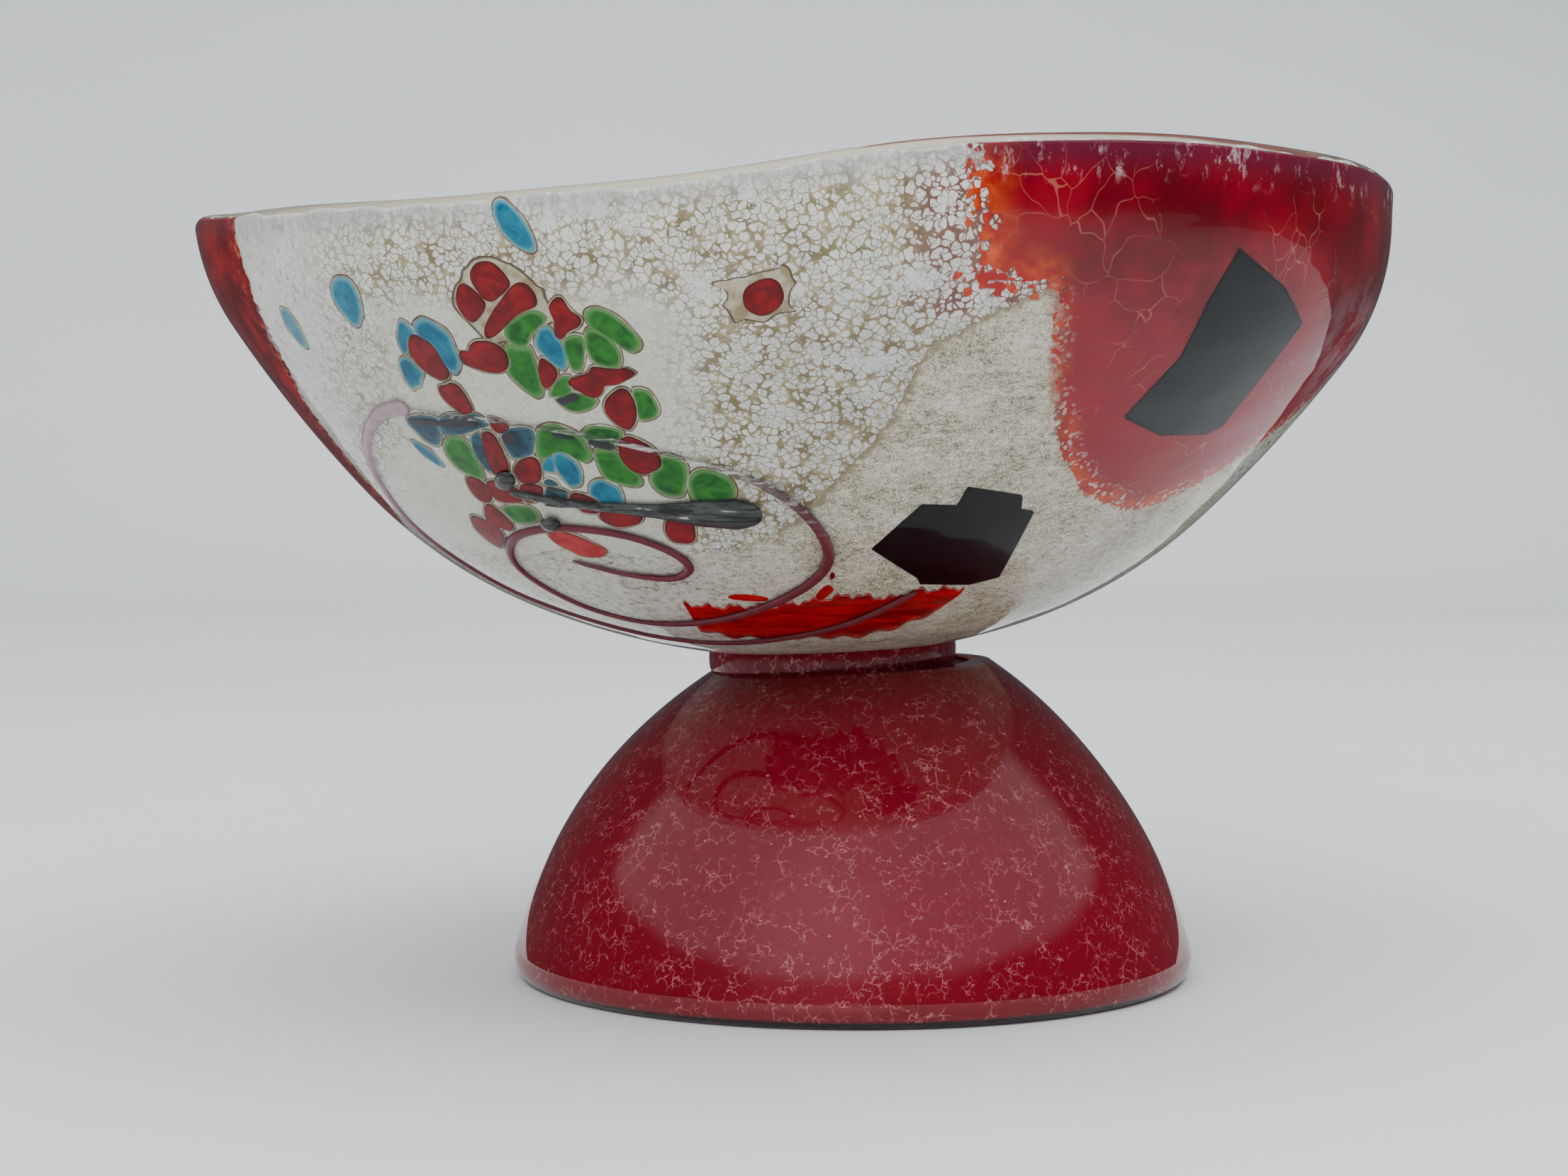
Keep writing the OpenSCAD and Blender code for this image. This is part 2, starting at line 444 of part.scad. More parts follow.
module bevelled_rim() polygon([[foot_r(0, foot_wall) + foot_bevel, 0], [foot_r(0, 0) - foot_bevel, 0],
    [foot_r(0, 0), foot_bevel * 1.5], [foot_r(0, 0), 90], [0, 90], [0, foot_bevel * 1.5],
    [foot_r(0, foot_wall), foot_bevel * 1.5]]);
module foot_clear_casing() color([0.86, 0.62, 0.66, 0.45]) translate([foot_x, 0, 0]) difference() {
    rotate_extrude($fn = 180) intersection() {
        difference() {
            foot_section(0, foot_wall, 0);
            foot_section(foot_casing, foot_wall + 1, foot_rim);
        }
        bevelled_rim();
    }
    above_foot();
    rotate([0, 0, 215]) translate([60, 0, foot_arch - 150]) rotate([0, 90, 0]) cylinder(40, 150, 150);
}
module foot_silver_leaf() color([0.80, 0.55, 0.55]) translate([foot_x, 0, 0]) difference() {
    rotate_extrude($fn = 180) foot_section(foot_casing, foot_casing + foot_leaf, foot_rim);
    above_foot();
}
module foot_ruby() color([0.42, 0.0, 0.08]) translate([foot_x, 0, 0]) difference() {
    rotate_extrude($fn = 180) union() {
        foot_section(foot_casing + foot_leaf, foot_wall, foot_rim);
        translate([0, collar_base - foot_top])
            square([foot_r(collar_base - foot_top, foot_wall) + 1, foot_top + 5]);
    }
    above_foot();
}

bowl_outer_casing();
white_crackle();
beige_ground();
bowl_inner_casing();
red_panel();
red_edge_band();
silver_leaf();
upper_black_tile();
lower_black_tile();
red_strip();
beige_halo();
red_butterfly();
blue_chip_near_rim();
blue_chip_left();
blue_sliver_left();
red_chip_alone();
red_chip_trio_top();
red_chip_trio_long();
red_chip_trio_left();
red_chip_propeller();
green_chip_crescent();
green_chip_upper_right();
green_chip_right_mid();
blue_chip_mid();
red_chip_tail();
red_chip_star();
red_chip_wedge();
green_chip_long();
red_chip_round();
green_chip_edge();
green_chip_pair();
red_chip_on_blue();
red_chip_link();
blue_chip_fan();
blue_sliver_low();
blue_chip_deep();
blue_chip_dark_left();
blue_chip_dark_mid();
green_chip_centre();
green_chip_thread_side();
red_chip_dark_round();
green_chip_beside();
green_chip_right();
green_chip_end();
blue_chip_low_mid();
green_chip_low_left();
green_chip_pale();
red_chip_low();
blue_chip_rod_end();
red_chip_rod_under();
red_chip_cube();
red_chip_bright();
spiral_thread_outer();
spiral_thread_inner();
clear_rod();
clear_bead();
joining_collar();
foot_clear_casing();
foot_silver_leaf();
foot_ruby();
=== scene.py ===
"""Looks of the footed art glass bowl: cased walls, fused decoration, trailed threads and the ruby foot."""
import json
import math

import bpy
import numpy as np
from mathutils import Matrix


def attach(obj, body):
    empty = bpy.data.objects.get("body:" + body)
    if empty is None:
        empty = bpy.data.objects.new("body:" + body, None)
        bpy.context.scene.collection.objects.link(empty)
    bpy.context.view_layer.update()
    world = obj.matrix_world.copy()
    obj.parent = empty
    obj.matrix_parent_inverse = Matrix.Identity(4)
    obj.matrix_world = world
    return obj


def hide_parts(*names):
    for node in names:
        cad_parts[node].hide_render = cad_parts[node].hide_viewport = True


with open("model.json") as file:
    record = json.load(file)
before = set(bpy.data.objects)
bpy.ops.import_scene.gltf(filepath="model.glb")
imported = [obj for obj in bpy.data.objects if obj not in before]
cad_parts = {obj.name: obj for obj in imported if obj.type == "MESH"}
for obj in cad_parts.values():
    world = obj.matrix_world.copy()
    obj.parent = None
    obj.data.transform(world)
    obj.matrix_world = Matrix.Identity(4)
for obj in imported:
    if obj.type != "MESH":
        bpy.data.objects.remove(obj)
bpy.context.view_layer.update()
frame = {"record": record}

# ---------------------------------------------------------------- the bowl's form, in millimetres
BOWL_X, BOWL_BASE, LEAN = -3.7, 75.0, math.radians(1.9)
ARCS = ((165.0, 0.0, 20.0), (113.0, 20.0, 45.0), (290.0, 45.0, 54.5), (52.0, 54.5, 90.0))
VALLEY_X, VALLEY_Z, CREST_X, CREST_Z, CREST_R = -125.0, 172.5, 92.0, 192.3, 440.0
WALL, T_CRACKLE, T_GROUND = 6.0, 1.6, 2.6
FOOT_X, FOOT_ARC, FOOT_IN, FOOT_DROP = 14.0, 113.4, 30.2, 21.5
COLLAR_X, COLLAR_R, COLLAR_Z, SLOPE = 9.2, 28.5, 73.2, math.radians(2.0)


def side_table():
    """The outside of the section as one dense list. Each arc starts where the last one ends, on the same
    tangent, so its centre lies on the last radius. The end is a straight rise. Columns: length along the
    side, radius from the axis, height, and the outward direction's two parts."""
    rows, centre, last = [], np.array([0.0, BOWL_BASE + ARCS[0][0]]), ARCS[0][0]
    for radius, start, end in ARCS:
        turn = math.radians(start)
        centre = centre + (last - radius) * np.array([math.sin(turn), -math.cos(turn)])
        a = np.radians(np.linspace(start, end, 160))
        n = np.stack([np.sin(a), -np.cos(a)], 1)
        rows.append(np.hstack([centre + radius * n, n]))
        last = radius
    top = rows[-1][-1]
    rise = np.linspace(0.0, 30.0, 60)
    rows.append(np.stack([np.full(60, top[0]), top[1] + rise, np.ones(60), np.zeros(60)], 1))
    table = np.vstack(rows)
    step = np.hypot(*np.diff(table[:, :2], axis=0).T)
    return np.column_stack([np.concatenate([[0.0], np.cumsum(step)]), table])


SIDE = side_table()


def length_at(z):
    """Length along the side where the outside is at height z."""
    return np.interp(z, SIDE[:, 2] + 1e-7 * np.arange(len(SIDE)), SIDE[:, 0])


def radius_at(z):
    """Outside radius at height z."""
    return np.interp(z, SIDE[:, 2] + 1e-7 * np.arange(len(SIDE)), SIDE[:, 1])


def rim_height(x):
    """The rim's wave: a valley arc and a crest arc that meet on a common tangent."""
    valley_r = (CREST_X - VALLEY_X) ** 2 / (2 * (CREST_Z - VALLEY_Z)) - CREST_R
    join = CREST_X - (CREST_X - VALLEY_X) * CREST_R / (CREST_R + valley_r)
    low = VALLEY_Z + valley_r - np.sqrt(valley_r ** 2 - (np.minimum(x, join) - VALLEY_X) ** 2)
    high = CREST_Z - CREST_R + np.sqrt(CREST_R ** 2 - (np.maximum(x, join) - CREST_X) ** 2)
    return np.where(x < join, low, high)


def rim_at(turn):
    """Rim height round the bowl, with the slight hand-made unevenness of a fire-polished lip."""
    wave = rim_height(137.0 * np.sin(turn))
    return wave + 0.35 * np.sin(3 * turn + 1.0) + 0.25 * np.sin(7 * turn + 0.4) + 0.15 * np.sin(13 * turn) - 0.5


def lean(p):
    """The bowl's own frame to the object's: a small turn about Y at the lowest point, in metres."""
    x, z = p[..., 0], p[..., 2] - BOWL_BASE
    c, s = math.cos(LEAN), math.sin(LEAN)
    return np.stack([BOWL_X + x * c + z * s, p[..., 1], BOWL_BASE - x * s + z * c], -1) * 0.001


def wall_point(turn, length, depth):
    """A point in the bowl's wall: turn 0 is the front and grows towards +X, length runs up the side from
    the lowest point, and depth goes in from the outside along the wall's own direction."""
    r, z, nr, nz = (np.interp(length, SIDE[:, 0], SIDE[:, k]) for k in (1, 2, 3, 4))
    r, z = r - depth * nr, z - depth * nz
    return lean(np.stack([r * np.sin(turn), -r * np.cos(turn), z], -1))


def front_point(x, z, depth):
    """A point of the front elevation carried on to the wall at a depth."""
    turn = np.arcsin(np.clip(x / radius_at(z), -0.999, 0.999))
    return wall_point(turn, length_at(z), depth)


# ---------------------------------------------------------------- meshes
def build(name, points, faces, values=None, smooth=True):
    """An object from points, faces and optional named values on its points."""
    mesh = bpy.data.meshes.new(name)
    mesh.from_pydata(points.reshape(-1, 3), [], faces)
    for key, value in (values or {}).items():
        layer = mesh.attributes.new(key, "FLOAT", "POINT")
        layer.data.foreach_set("value", np.ascontiguousarray(value, dtype=np.float32).ravel())
    mesh.polygons.foreach_set("use_smooth", np.full(len(mesh.polygons), smooth))
    mesh.update()
    obj = bpy.data.objects.new(name, mesh)
    bpy.context.scene.collection.objects.link(obj)
    return obj


def quads(rows, cols, wrap_rows=False, wrap_cols=True, offset=0):
    """Faces of a grid of rows by cols points; a wrapped direction closes on itself."""
    i = np.arange(rows if wrap_rows else rows - 1)[:, None]
    j = np.arange(cols if wrap_cols else cols - 1)[None, :]
    i2, j2 = (i + 1) % rows, (j + 1) % cols
    f = np.stack([i * cols + j, i * cols + j2, i2 * cols + j2, i2 * cols + j], -1)
    return (f.reshape(-1, 4) + offset).tolist()


def fan(ring, pole, flip=False):
    """Triangles from a ring of point numbers to a pole."""
    nxt = np.roll(ring, -1)
    a, b = (nxt, ring) if flip else (ring, nxt)
    return np.stack([a, b, np.full(len(ring), pole)], -1).tolist()


def turned(name, rings, low, high, values=None):
    """A closed body from rings of points stacked from its lower pole to its upper pole."""
    rows, cols = rings.shape[:2]
    points = np.vstack([rings.reshape(-1, 3), low, high])
    faces = quads(rows, cols)
    faces += fan(np.arange(cols), rows * cols, flip=True)
    faces += fan(np.arange(cols) + (rows - 1) * cols, rows * cols + 1)
    return build(name, points, faces, values)


def below_rim(turn, length):
    """Millimetres below the rim for a place on the wall."""
    return rim_at(turn) - np.interp(length, SIDE[:, 0], SIDE[:, 2])


def shell(name, outer, inner, top, lip_points, cols=360, rows=150):
    """A cup-shaped body. The outside climbs from the lowest point to just under its top edge, a
    half-round lip turns over the wall, and the inside goes back down. Depths are measured from the
    bowl's outside; top is the height of the edge for each turn. Value "drop" is the distance under the rim."""
    turn = np.linspace(0, 2 * np.pi, cols, endpoint=False)[None, :]
    half = (inner - outer) / 2
    end = length_at(top(turn) - half)
    share = np.linspace(0, 1, rows + 1)[1:, None] ** 0.9
    climb, zero = share * end, np.zeros((rows, cols))
    a = np.linspace(0, np.pi, lip_points + 2)[1:-1, None]
    lip_len = end + half * np.sin(a)
    lip_depth = outer + half * (1 - np.cos(a)) + 0 * turn
    length = np.vstack([climb, lip_len, climb[::-1]])
    depth = np.vstack([zero + outer, lip_depth, zero + inner])
    poles = wall_point(np.zeros(2), np.zeros(2), np.array([outer, inner]))
    drop = np.concatenate([below_rim(turn, length).ravel(), [99, 99]])
    return turned(name, wall_point(turn + zero[:1], length, depth), poles[:1], poles[1:], {"drop": drop})


def smooth_outline(corners, rounds, count=48):
    """Corners cut again and again at a quarter and three quarters of each side, which rounds them,
    then resampled at even steps along the outline."""
    p = np.asarray(corners, float)
    for _ in range(rounds):
        q = np.roll(p, -1, 0)
        p = np.stack([0.75 * p + 0.25 * q, 0.25 * p + 0.75 * q], 1).reshape(-1, 2)
    closed = np.vstack([p, p[:1]])
    run = np.concatenate([[0], np.cumsum(np.hypot(*np.diff(closed, axis=0).T))])
    at = np.linspace(0, run[-1], count, endpoint=False)
    return np.stack([np.interp(at, run, closed[:, 0]), np.interp(at, run, closed[:, 1])], 1)


def inlay(name, outlines, depth, dome, square=2.0, sink=2.3, grow=0.0):
    """Glass pieces set into the wall. Each outline shrinks to its middle in rings. The top rises from the
    edge as a flattened dome, height = (1 - share^square)^(1/square), and the back lies deeper in the wall.
    Value "edge" runs from 0 in the middle to 1 at the outline."""
    points, faces, edge, offset = [], [], [], 0
    share = np.array([0.12, 0.25, 0.4, 0.55, 0.7, 0.82, 0.9, 0.95, 0.98, 1.0])[:, None, None]
    for outline in outlines:
        centre = outline.mean(0)
        reach = (outline - centre)[None]
        reach = reach * (1 + grow / np.maximum(np.hypot(reach[..., :1], reach[..., 1:]), 0.1))
        flat = centre + share * reach
        lift = (1 - share[..., 0] ** square) ** (1 / square)
        top = front_point(flat[..., 0], flat[..., 1], depth - dome * lift)
        back = front_point(flat[::-1, :, 0], flat[::-1, :, 1], sink + 0 * flat[..., 0])
        rings = np.concatenate([top, back])
        poles = front_point(np.full(2, centre[0]), np.full(2, centre[1]), np.array([depth - dome, sink]))
        rows, cols = rings.shape[:2]
        points.append(np.vstack([rings.reshape(-1, 3), poles]))
        faces += quads(rows, cols, offset=offset)
        faces += fan(np.arange(cols) + offset, rows * cols + offset, flip=True)
        faces += fan(np.arange(cols) + (rows - 1) * cols + offset, rows * cols + 1 + offset)
        level = np.concatenate([share[:, 0, 0], share[::-1, 0, 0]])
        edge.append(np.concatenate([np.repeat(level, cols), [0, 0]]))
        offset += rows * cols + 2
    return build(name, np.vstack(points), faces, {"edge": np.concatenate(edge)})


def patch(name, turn, low, high, outer, inner, rows=90, fade=None):
    """A curved plate in the wall between two heights for each turn, with closed sides. Value "inside"
    is the distance in millimetres to the free edge, below 0 outside it, and "drop" the distance under the rim."""
    share = np.linspace(0, 1, rows)[:, None]
    bottom, top = length_at(low)[None, :], length_at(high)[None, :]
    length = bottom + share * (top - bottom)
    faces_out = wall_point(turn[None, :] + 0 * length, length, outer + 0 * length)
    faces_in = wall_point(turn[None, :] + 0 * length, length, inner + 0 * length)
    cols = len(turn)
    sheet = np.concatenate([faces_out, faces_in])
    n = rows * cols
    f = np.array(quads(rows, cols, wrap_cols=False))
    rim = np.concatenate([np.arange(cols), np.arange(1, rows) * cols + cols - 1,
                          (rows - 1) * cols + np.arange(cols - 2, -1, -1),
                          np.arange(rows - 2, 0, -1) * cols])
    nxt = np.roll(rim, -1)
    sides = np.stack([rim, rim + n, nxt + n, nxt], -1)
    faces = f.tolist() + (f[:, ::-1] + n).tolist() + sides.tolist()
    inside = fade(turn[None, :] + 0 * length, length)
    drop = below_rim(turn[None, :], length)
    return build(name, sheet, faces, {"inside": np.concatenate([inside, inside]),
                                      "drop": np.concatenate([drop, drop])})


def spline(points, steps):
    """A smooth run through the points: on each stretch a cubic whose slope at a point is half the way
    between that point's neighbours."""
    p = np.asarray(points, float)
    a, b, c, d = np.vstack([p[:1], p[:-2]]), p[:-1], p[1:], np.vstack([p[2:], p[-1:]])
    u = (np.arange(steps) / steps)[None, :, None]
    a, b, c, d = (v[:, None, :] for v in (a, b, c, d))
    run = 0.5 * (2 * b + (c - a) * u + (2 * a - 5 * b + 4 * c - d) * u ** 2
                 + (3 * b - a - 3 * c + d) * u ** 3)
    return np.vstack([run.reshape(-1, p.shape[1]), p[-1:]])


def trail(name, points, wide, high, sunk, steps=14, around=20):
    """Trailed glass: an oval section carried along a smooth run over the wall. Its width and height
    follow the lists given along the run, and both ends close in a half-round. Value "along" runs from
    0 to 1 down its length."""
    path = spline(points, steps)
    count = len(path)
    along = np.linspace(0, 1, count)
    width, height, under = (np.interp(along, np.linspace(0, 1, len(v)), v) for v in (wide, high, sunk))
    tip = np.minimum(1, np.minimum(np.arange(count), np.arange(count)[::-1]) / 5 + 0.02)
    cap = np.sqrt(1 - (1 - tip) ** 2)
    base = front_point(path[:, 0], path[:, 1], np.zeros(count)) * 1000
    normal = base - front_point(path[:, 0], path[:, 1], np.ones(count)) * 1000
    centre = base + normal * (height / 2 - under)[:, None]
    ahead = np.gradient(centre, axis=0)
    ahead /= np.linalg.norm(ahead, axis=1)[:, None]
    across = np.cross(ahead, normal)
    a = np.linspace(0, 2 * np.pi, around, endpoint=False)[None, :, None]
    rings = centre[:, None] + (across * (width * cap / 2)[:, None])[:, None] * np.cos(a) \
        - (normal * (height * cap / 2)[:, None])[:, None] * np.sin(a)
    rings *= 0.001
    obj = turned(name, rings, centre[:1] * 0.001, centre[-1:] * 0.001,
                 {"along": np.concatenate([np.repeat(along, around), [0, 1]])})
    return obj


# ---------------------------------------------------------------- shader maths
class Value:
    """One output socket. Arithmetic on it adds Math nodes to its tree."""

    def __init__(self, tree, socket):
        self.tree, self.socket = tree, socket

    def math(self, operation, *others):
        node = self.tree.nodes.new("ShaderNodeMath")
        node.operation = operation
        for slot, value in zip(node.inputs, others):
            if isinstance(value, Value):
                self.tree.links.new(value.socket, slot)
            else:
                slot.default_value = value
        return Value(self.tree, node.outputs[0])

    def __add__(self, other): return self.math("ADD", self, other)
    def __radd__(self, other): return self.math("ADD", other, self)
    def __sub__(self, other): return self.math("SUBTRACT", self, other)
    def __rsub__(self, other): return self.math("SUBTRACT", other, self)
    def __mul__(self, other): return self.math("MULTIPLY", self, other)
    def __rmul__(self, other): return self.math("MULTIPLY", other, self)
    def __truediv__(self, other): return self.math("DIVIDE", self, other)
    def __pow__(self, other): return self.math("POWER", self, other)
    def at_least(self, other): return self.math("MAXIMUM", self, other)
    def at_most(self, other): return self.math("MINIMUM", self, other)

    def step(self, low, high):
        """0 below low, 1 above high, smooth between."""
        node = self.tree.nodes.new("ShaderNodeMapRange")
        node.interpolation_type = "SMOOTHSTEP"
        self.tree.links.new(self.socket, node.inputs["Value"])
        node.inputs["From Min"].default_value = low
        node.inputs["From Max"].default_value = high
        return Value(self.tree, node.outputs["Result"])


class Finish:
    """One material, its shader, and the one method that adds any other node."""

    def __init__(self, name, **constants):
        self.material = bpy.data.materials.new(name)
        self.material.use_nodes = True
        self.tree = self.material.node_tree
        self.shader = self.tree.nodes["Principled BSDF"]
        for key, value in constants.items():
            self.shader.inputs[key.replace("_", " ")].default_value = value
        self.place = self.add("ShaderNodeTexCoord", "Object")

    def add(self, kind, out=0, inputs=None, stops=None, **settings):
        """A node with its settings made first, then its sockets filled or linked."""
        node = self.tree.nodes.new(kind)
        for key, value in settings.items():
            setattr(node, key, value)
        if stops:
            ramp = node.color_ramp
            while len(ramp.elements) < len(stops):
                ramp.elements.new(0.5)
            for element, (at, colour) in zip(ramp.elements, stops):
                element.position, element.color = at, (*colour, 1)
        for key, value in (inputs or {}).items():
            if isinstance(value, Value):
                self.tree.links.new(value.socket, node.inputs[key])
            else:
                node.inputs[key].default_value = (*value, 1) if kind == "ShaderNodeMix" and isinstance(
                    value, tuple) else value
        return Value(self.tree, node.outputs[out])

    def noise(self, scale, detail=3.0, rough=0.55, vector=None, twist=0.0):
        return self.add("ShaderNodeTexNoise", "Fac", {"Vector": vector or self.place, "Scale": scale,
                        "Detail": detail, "Roughness": rough, "Distortion": twist})

    def cells(self, scale, out="Distance", feature="DISTANCE_TO_EDGE", vector=None, random=1.0):
        return self.add("ShaderNodeTexVoronoi", out, {"Vector": vector or self.place, "Scale": scale,
                        "Randomness": random}, feature=feature)

    def stretched(self, x, y, z):
        """Object coordinates scaled per axis."""
        return self.add("ShaderNodeMapping", 0, {"Vector": self.place, "Scale": (x, y, z)})

    def warped(self, scale, amount):
        """Object coordinates pushed about by soft noise, in metres."""
        push = self.add("ShaderNodeTexNoise", "Color", {"Vector": self.place, "Scale": scale, "Detail": 2.0})
        centred = self.add("ShaderNodeVectorMath", 0, {0: push, 1: (0.5, 0.5, 0.5)}, operation="SUBTRACT")
        scaled = self.add("ShaderNodeVectorMath", 0, {0: centred, "Scale": amount}, operation="SCALE")
        return self.add("ShaderNodeVectorMath", 0, {0: self.place, 1: scaled}, operation="ADD")

    def value(self, name):
        return self.add("ShaderNodeAttribute", "Fac", attribute_name=name)

    def mix(self, share, low, high):
        return self.add("ShaderNodeMix", 2, {0: share, 6: low, 7: high}, data_type="RGBA")

    def height(self, height, strength, distance):
        bump = self.add("ShaderNodeBump", 0, {"Height": height, "Strength": strength, "Distance": distance})
        self.tree.links.new(bump.socket, self.shader.inputs["Normal"])

    def set(self, **links):
        for key, value in links.items():
            self.tree.links.new(value.socket, self.shader.inputs[key.replace("_", " ")])
        return self


def axis_part(finish, axis):
    """One coordinate of the object's own place."""
    return finish.add("ShaderNodeSeparateXYZ", axis, {"Vector": finish.place})


def clear_glass():
    """Colourless cased glass: faint smoky tint and the slow ripple of blown work."""
    f = Finish("clear cased glass", Roughness=0.02, IOR=1.24, Transmission_Weight=1.0)
    tint = f.mix(f.noise(9.0, 2.0), (0.95, 0.965, 0.96), (0.985, 0.99, 0.985))
    f.set(Base_Color=tint)
    f.height(f.noise(26.0, 2.0, vector=f.stretched(1, 1, 2.2)), 0.2, 0.004)
    return f.material


def crackle():
    """White enamel that crackled as the bowl was blown. Cell borders give the cracks: thin and brown
    along the border, opening into tan islands at the corners far from every cell's middle, with a finer
    net in patches. Round the fused chips the enamel stays whole and creamy, at the left it breaks into
    short dashes, beside the red panel its cracks run red, and under the rim it thins to grey streaks."""
    f = Finish("white crackle enamel", Roughness=0.4, Specular_IOR_Level=0.2)
    x, z, drop = axis_part(f, 0), axis_part(f, 2), f.value("drop")
    warp = f.warped(330.0, 0.0030)
    border = f.cells(540.0, vector=warp)
    far = f.cells(540.0, "Distance", "F1", vector=warp)
    patchy = f.noise(95.0, 4.0, 0.7)
    open_crack = patchy.step(0.36, 0.56)
    wide = 0.050 + 0.26 * far.step(0.46, 0.78) * open_crack
    crack = (1 - (border / wide).step(0.55, 1.0)) * patchy.step(0.28, 0.42)
    fine = (1 - f.cells(1100.0, vector=f.warped(800.0, 0.0010)).step(0.02, 0.10)) * f.noise(160.0, 3.0).step(0.38, 0.54)
    ragged = 0.022 * (f.noise(45.0, 4.0, 0.7) - 0.5)
    calm = (x + ragged).step(-0.094, -0.078) * (1 - (x + ragged).step(-0.030, -0.014)) * (z + ragged).step(0.096, 0.106) * (
        1 - (z + ragged).step(0.150, 0.160))
    left = 1 - x.step(-0.108, -0.086)
    dash = f.noise(620.0, 2.0, vector=f.stretched(1.0, 1.0, 0.4)).step(0.60, 0.67)
    crack = crack * (1 - 0.80 * calm) * (1 - 0.85 * left)
    fine = (fine * 0.75 * (1 - 0.75 * calm) * (1 - 0.6 * left)).at_least(dash * left * 0.7)
    streak = f.noise(600.0, 4.0, 0.7, vector=f.stretched(1.0, 1.0, 0.22))
    fade = 1 - (drop + 7.0 * (streak - 0.5)).step(0.6, 9.5)
    lilac = x.step(-0.012, 0.002) * (1 - x.step(0.03, 0.04)) * (1 - z.step(0.150, 0.170))
    cloud = f.noise(75.0, 3.0, 0.6)
    white = f.mix(cloud, (0.80, 0.79, 0.72), (0.94, 0.94, 0.90))
    white = f.mix(calm * 0.75, white, f.mix(cloud, (0.70, 0.66, 0.54), (0.90, 0.88, 0.77)))
    white = f.mix(lilac * 0.35, white, (0.66, 0.65, 0.67))
    reddish = x.step(0.016, 0.030) * z.step(0.148, 0.156)
    tan = f.mix(f.noise(240.0).step(0.35, 0.65), (0.24, 0.185, 0.090), (0.52, 0.43, 0.25))
    tan = f.mix(reddish * 0.8, tan, (0.20, 0.05, 0.06))
    colour = f.mix(crack, white, tan)
    lip = (1 - (border / (wide + 0.05)).step(0.6, 1.0)) * (border / wide).step(0.75, 1.05) * open_crack * (1 - calm)
    colour = f.mix((lip * 0.55).at_least(fine * 0.8), colour, (0.20, 0.155, 0.095))
    f.set(Base_Color=f.mix(fade * 0.85, colour, f.mix(streak.step(0.40, 0.62), (0.44, 0.44, 0.42), (0.60, 0.60, 0.575))))
    f.height(1 - crack.at_least(fine), 0.25, 0.0003)
    return f.material


def ground():
    """Beige ground with clouding, seen from inside the bowl: creamy with fine brown pits, paler and
    greyer under the rim, and stained dark red behind the large panel."""
    f = Finish("beige ground", Roughness=0.4, Specular_IOR_Level=0.3)
    x, y, drop = axis_part(f, 0), axis_part(f, 1), f.value("drop")
    cloud = f.noise(60.0, 5.0, 0.65)
    speck = f.cells(500.0).step(0.02, 0.12)
    beige = f.mix(cloud, f.mix(speck, (0.40, 0.33, 0.22), (0.56, 0.50, 0.38)), (0.66, 0.63, 0.54))
    stain = (x + 0.02 * (f.noise(40.0, 4.0, 0.7) - 0.5)).step(0.034, 0.042) * (1 - y.step(0.02, 0.05))
    colour = f.mix(stain * 0.85, beige, f.mix(cloud, (0.12, 0.004, 0.010), (0.34, 0.02, 0.02)))
    f.set(Base_Color=f.mix(1 - drop.step(1.0, 9.0), colour, (0.52, 0.51, 0.48)))
    return f.material


def chip_glass(name, deep, bright, rim, pale=0.75, start=0.74):
    """Opaque chip glass: slow colour swirls and a drawn-out margin of another tone."""
    f = Finish(name, Roughness=0.3, Specular_IOR_Level=0.08)
    edge = f.value("edge")
    swirl = f.noise(230.0, 4.0, 0.62, twist=0.8)
    body = f.mix(swirl.step(0.34, 0.68), deep, bright)
    margin = (edge + 0.20 * (f.noise(420.0, 3.0) - 0.5)).step(start, 0.97)
    f.set(Base_Color=f.mix(margin * pale, body, rim))
    f.height(f.noise(300.0, 3.0), 0.10, 0.0005)
    return f.material


def seam_tan():
    """Enamel drawn up round the chips: tan with cream clouds and a thin brown outer line."""
    f = Finish("tan seam enamel", Roughness=0.4, Specular_IOR_Level=0.2)
    edge = f.value("edge") + 0.05 * (f.noise(500.0, 3.0, 0.7) - 0.5)
    tan = f.mix(f.noise(260.0, 3.0).step(0.38, 0.62), (0.34, 0.26, 0.14), (0.60, 0.54, 0.40))
    f.set(Base_Color=f.mix(edge.step(0.92, 0.965), tan, (0.11, 0.074, 0.040)))
    return f.material


def painted_refraction_shade():
    """Painted refraction shade: soft-sided dark patches beside the clear thread and rod."""
    f = Finish("painted refraction shade", Roughness=0.2, Specular_IOR_Level=0.15)
    edge = f.value("edge")
    f.set(Base_Color=f.mix(f.noise(300.0, 3.0), (0.010, 0.010, 0.014), (0.07, 0.06, 0.07)),
          Alpha=0.85 * (1 - edge.step(0.75, 1.0)))
    return f.material


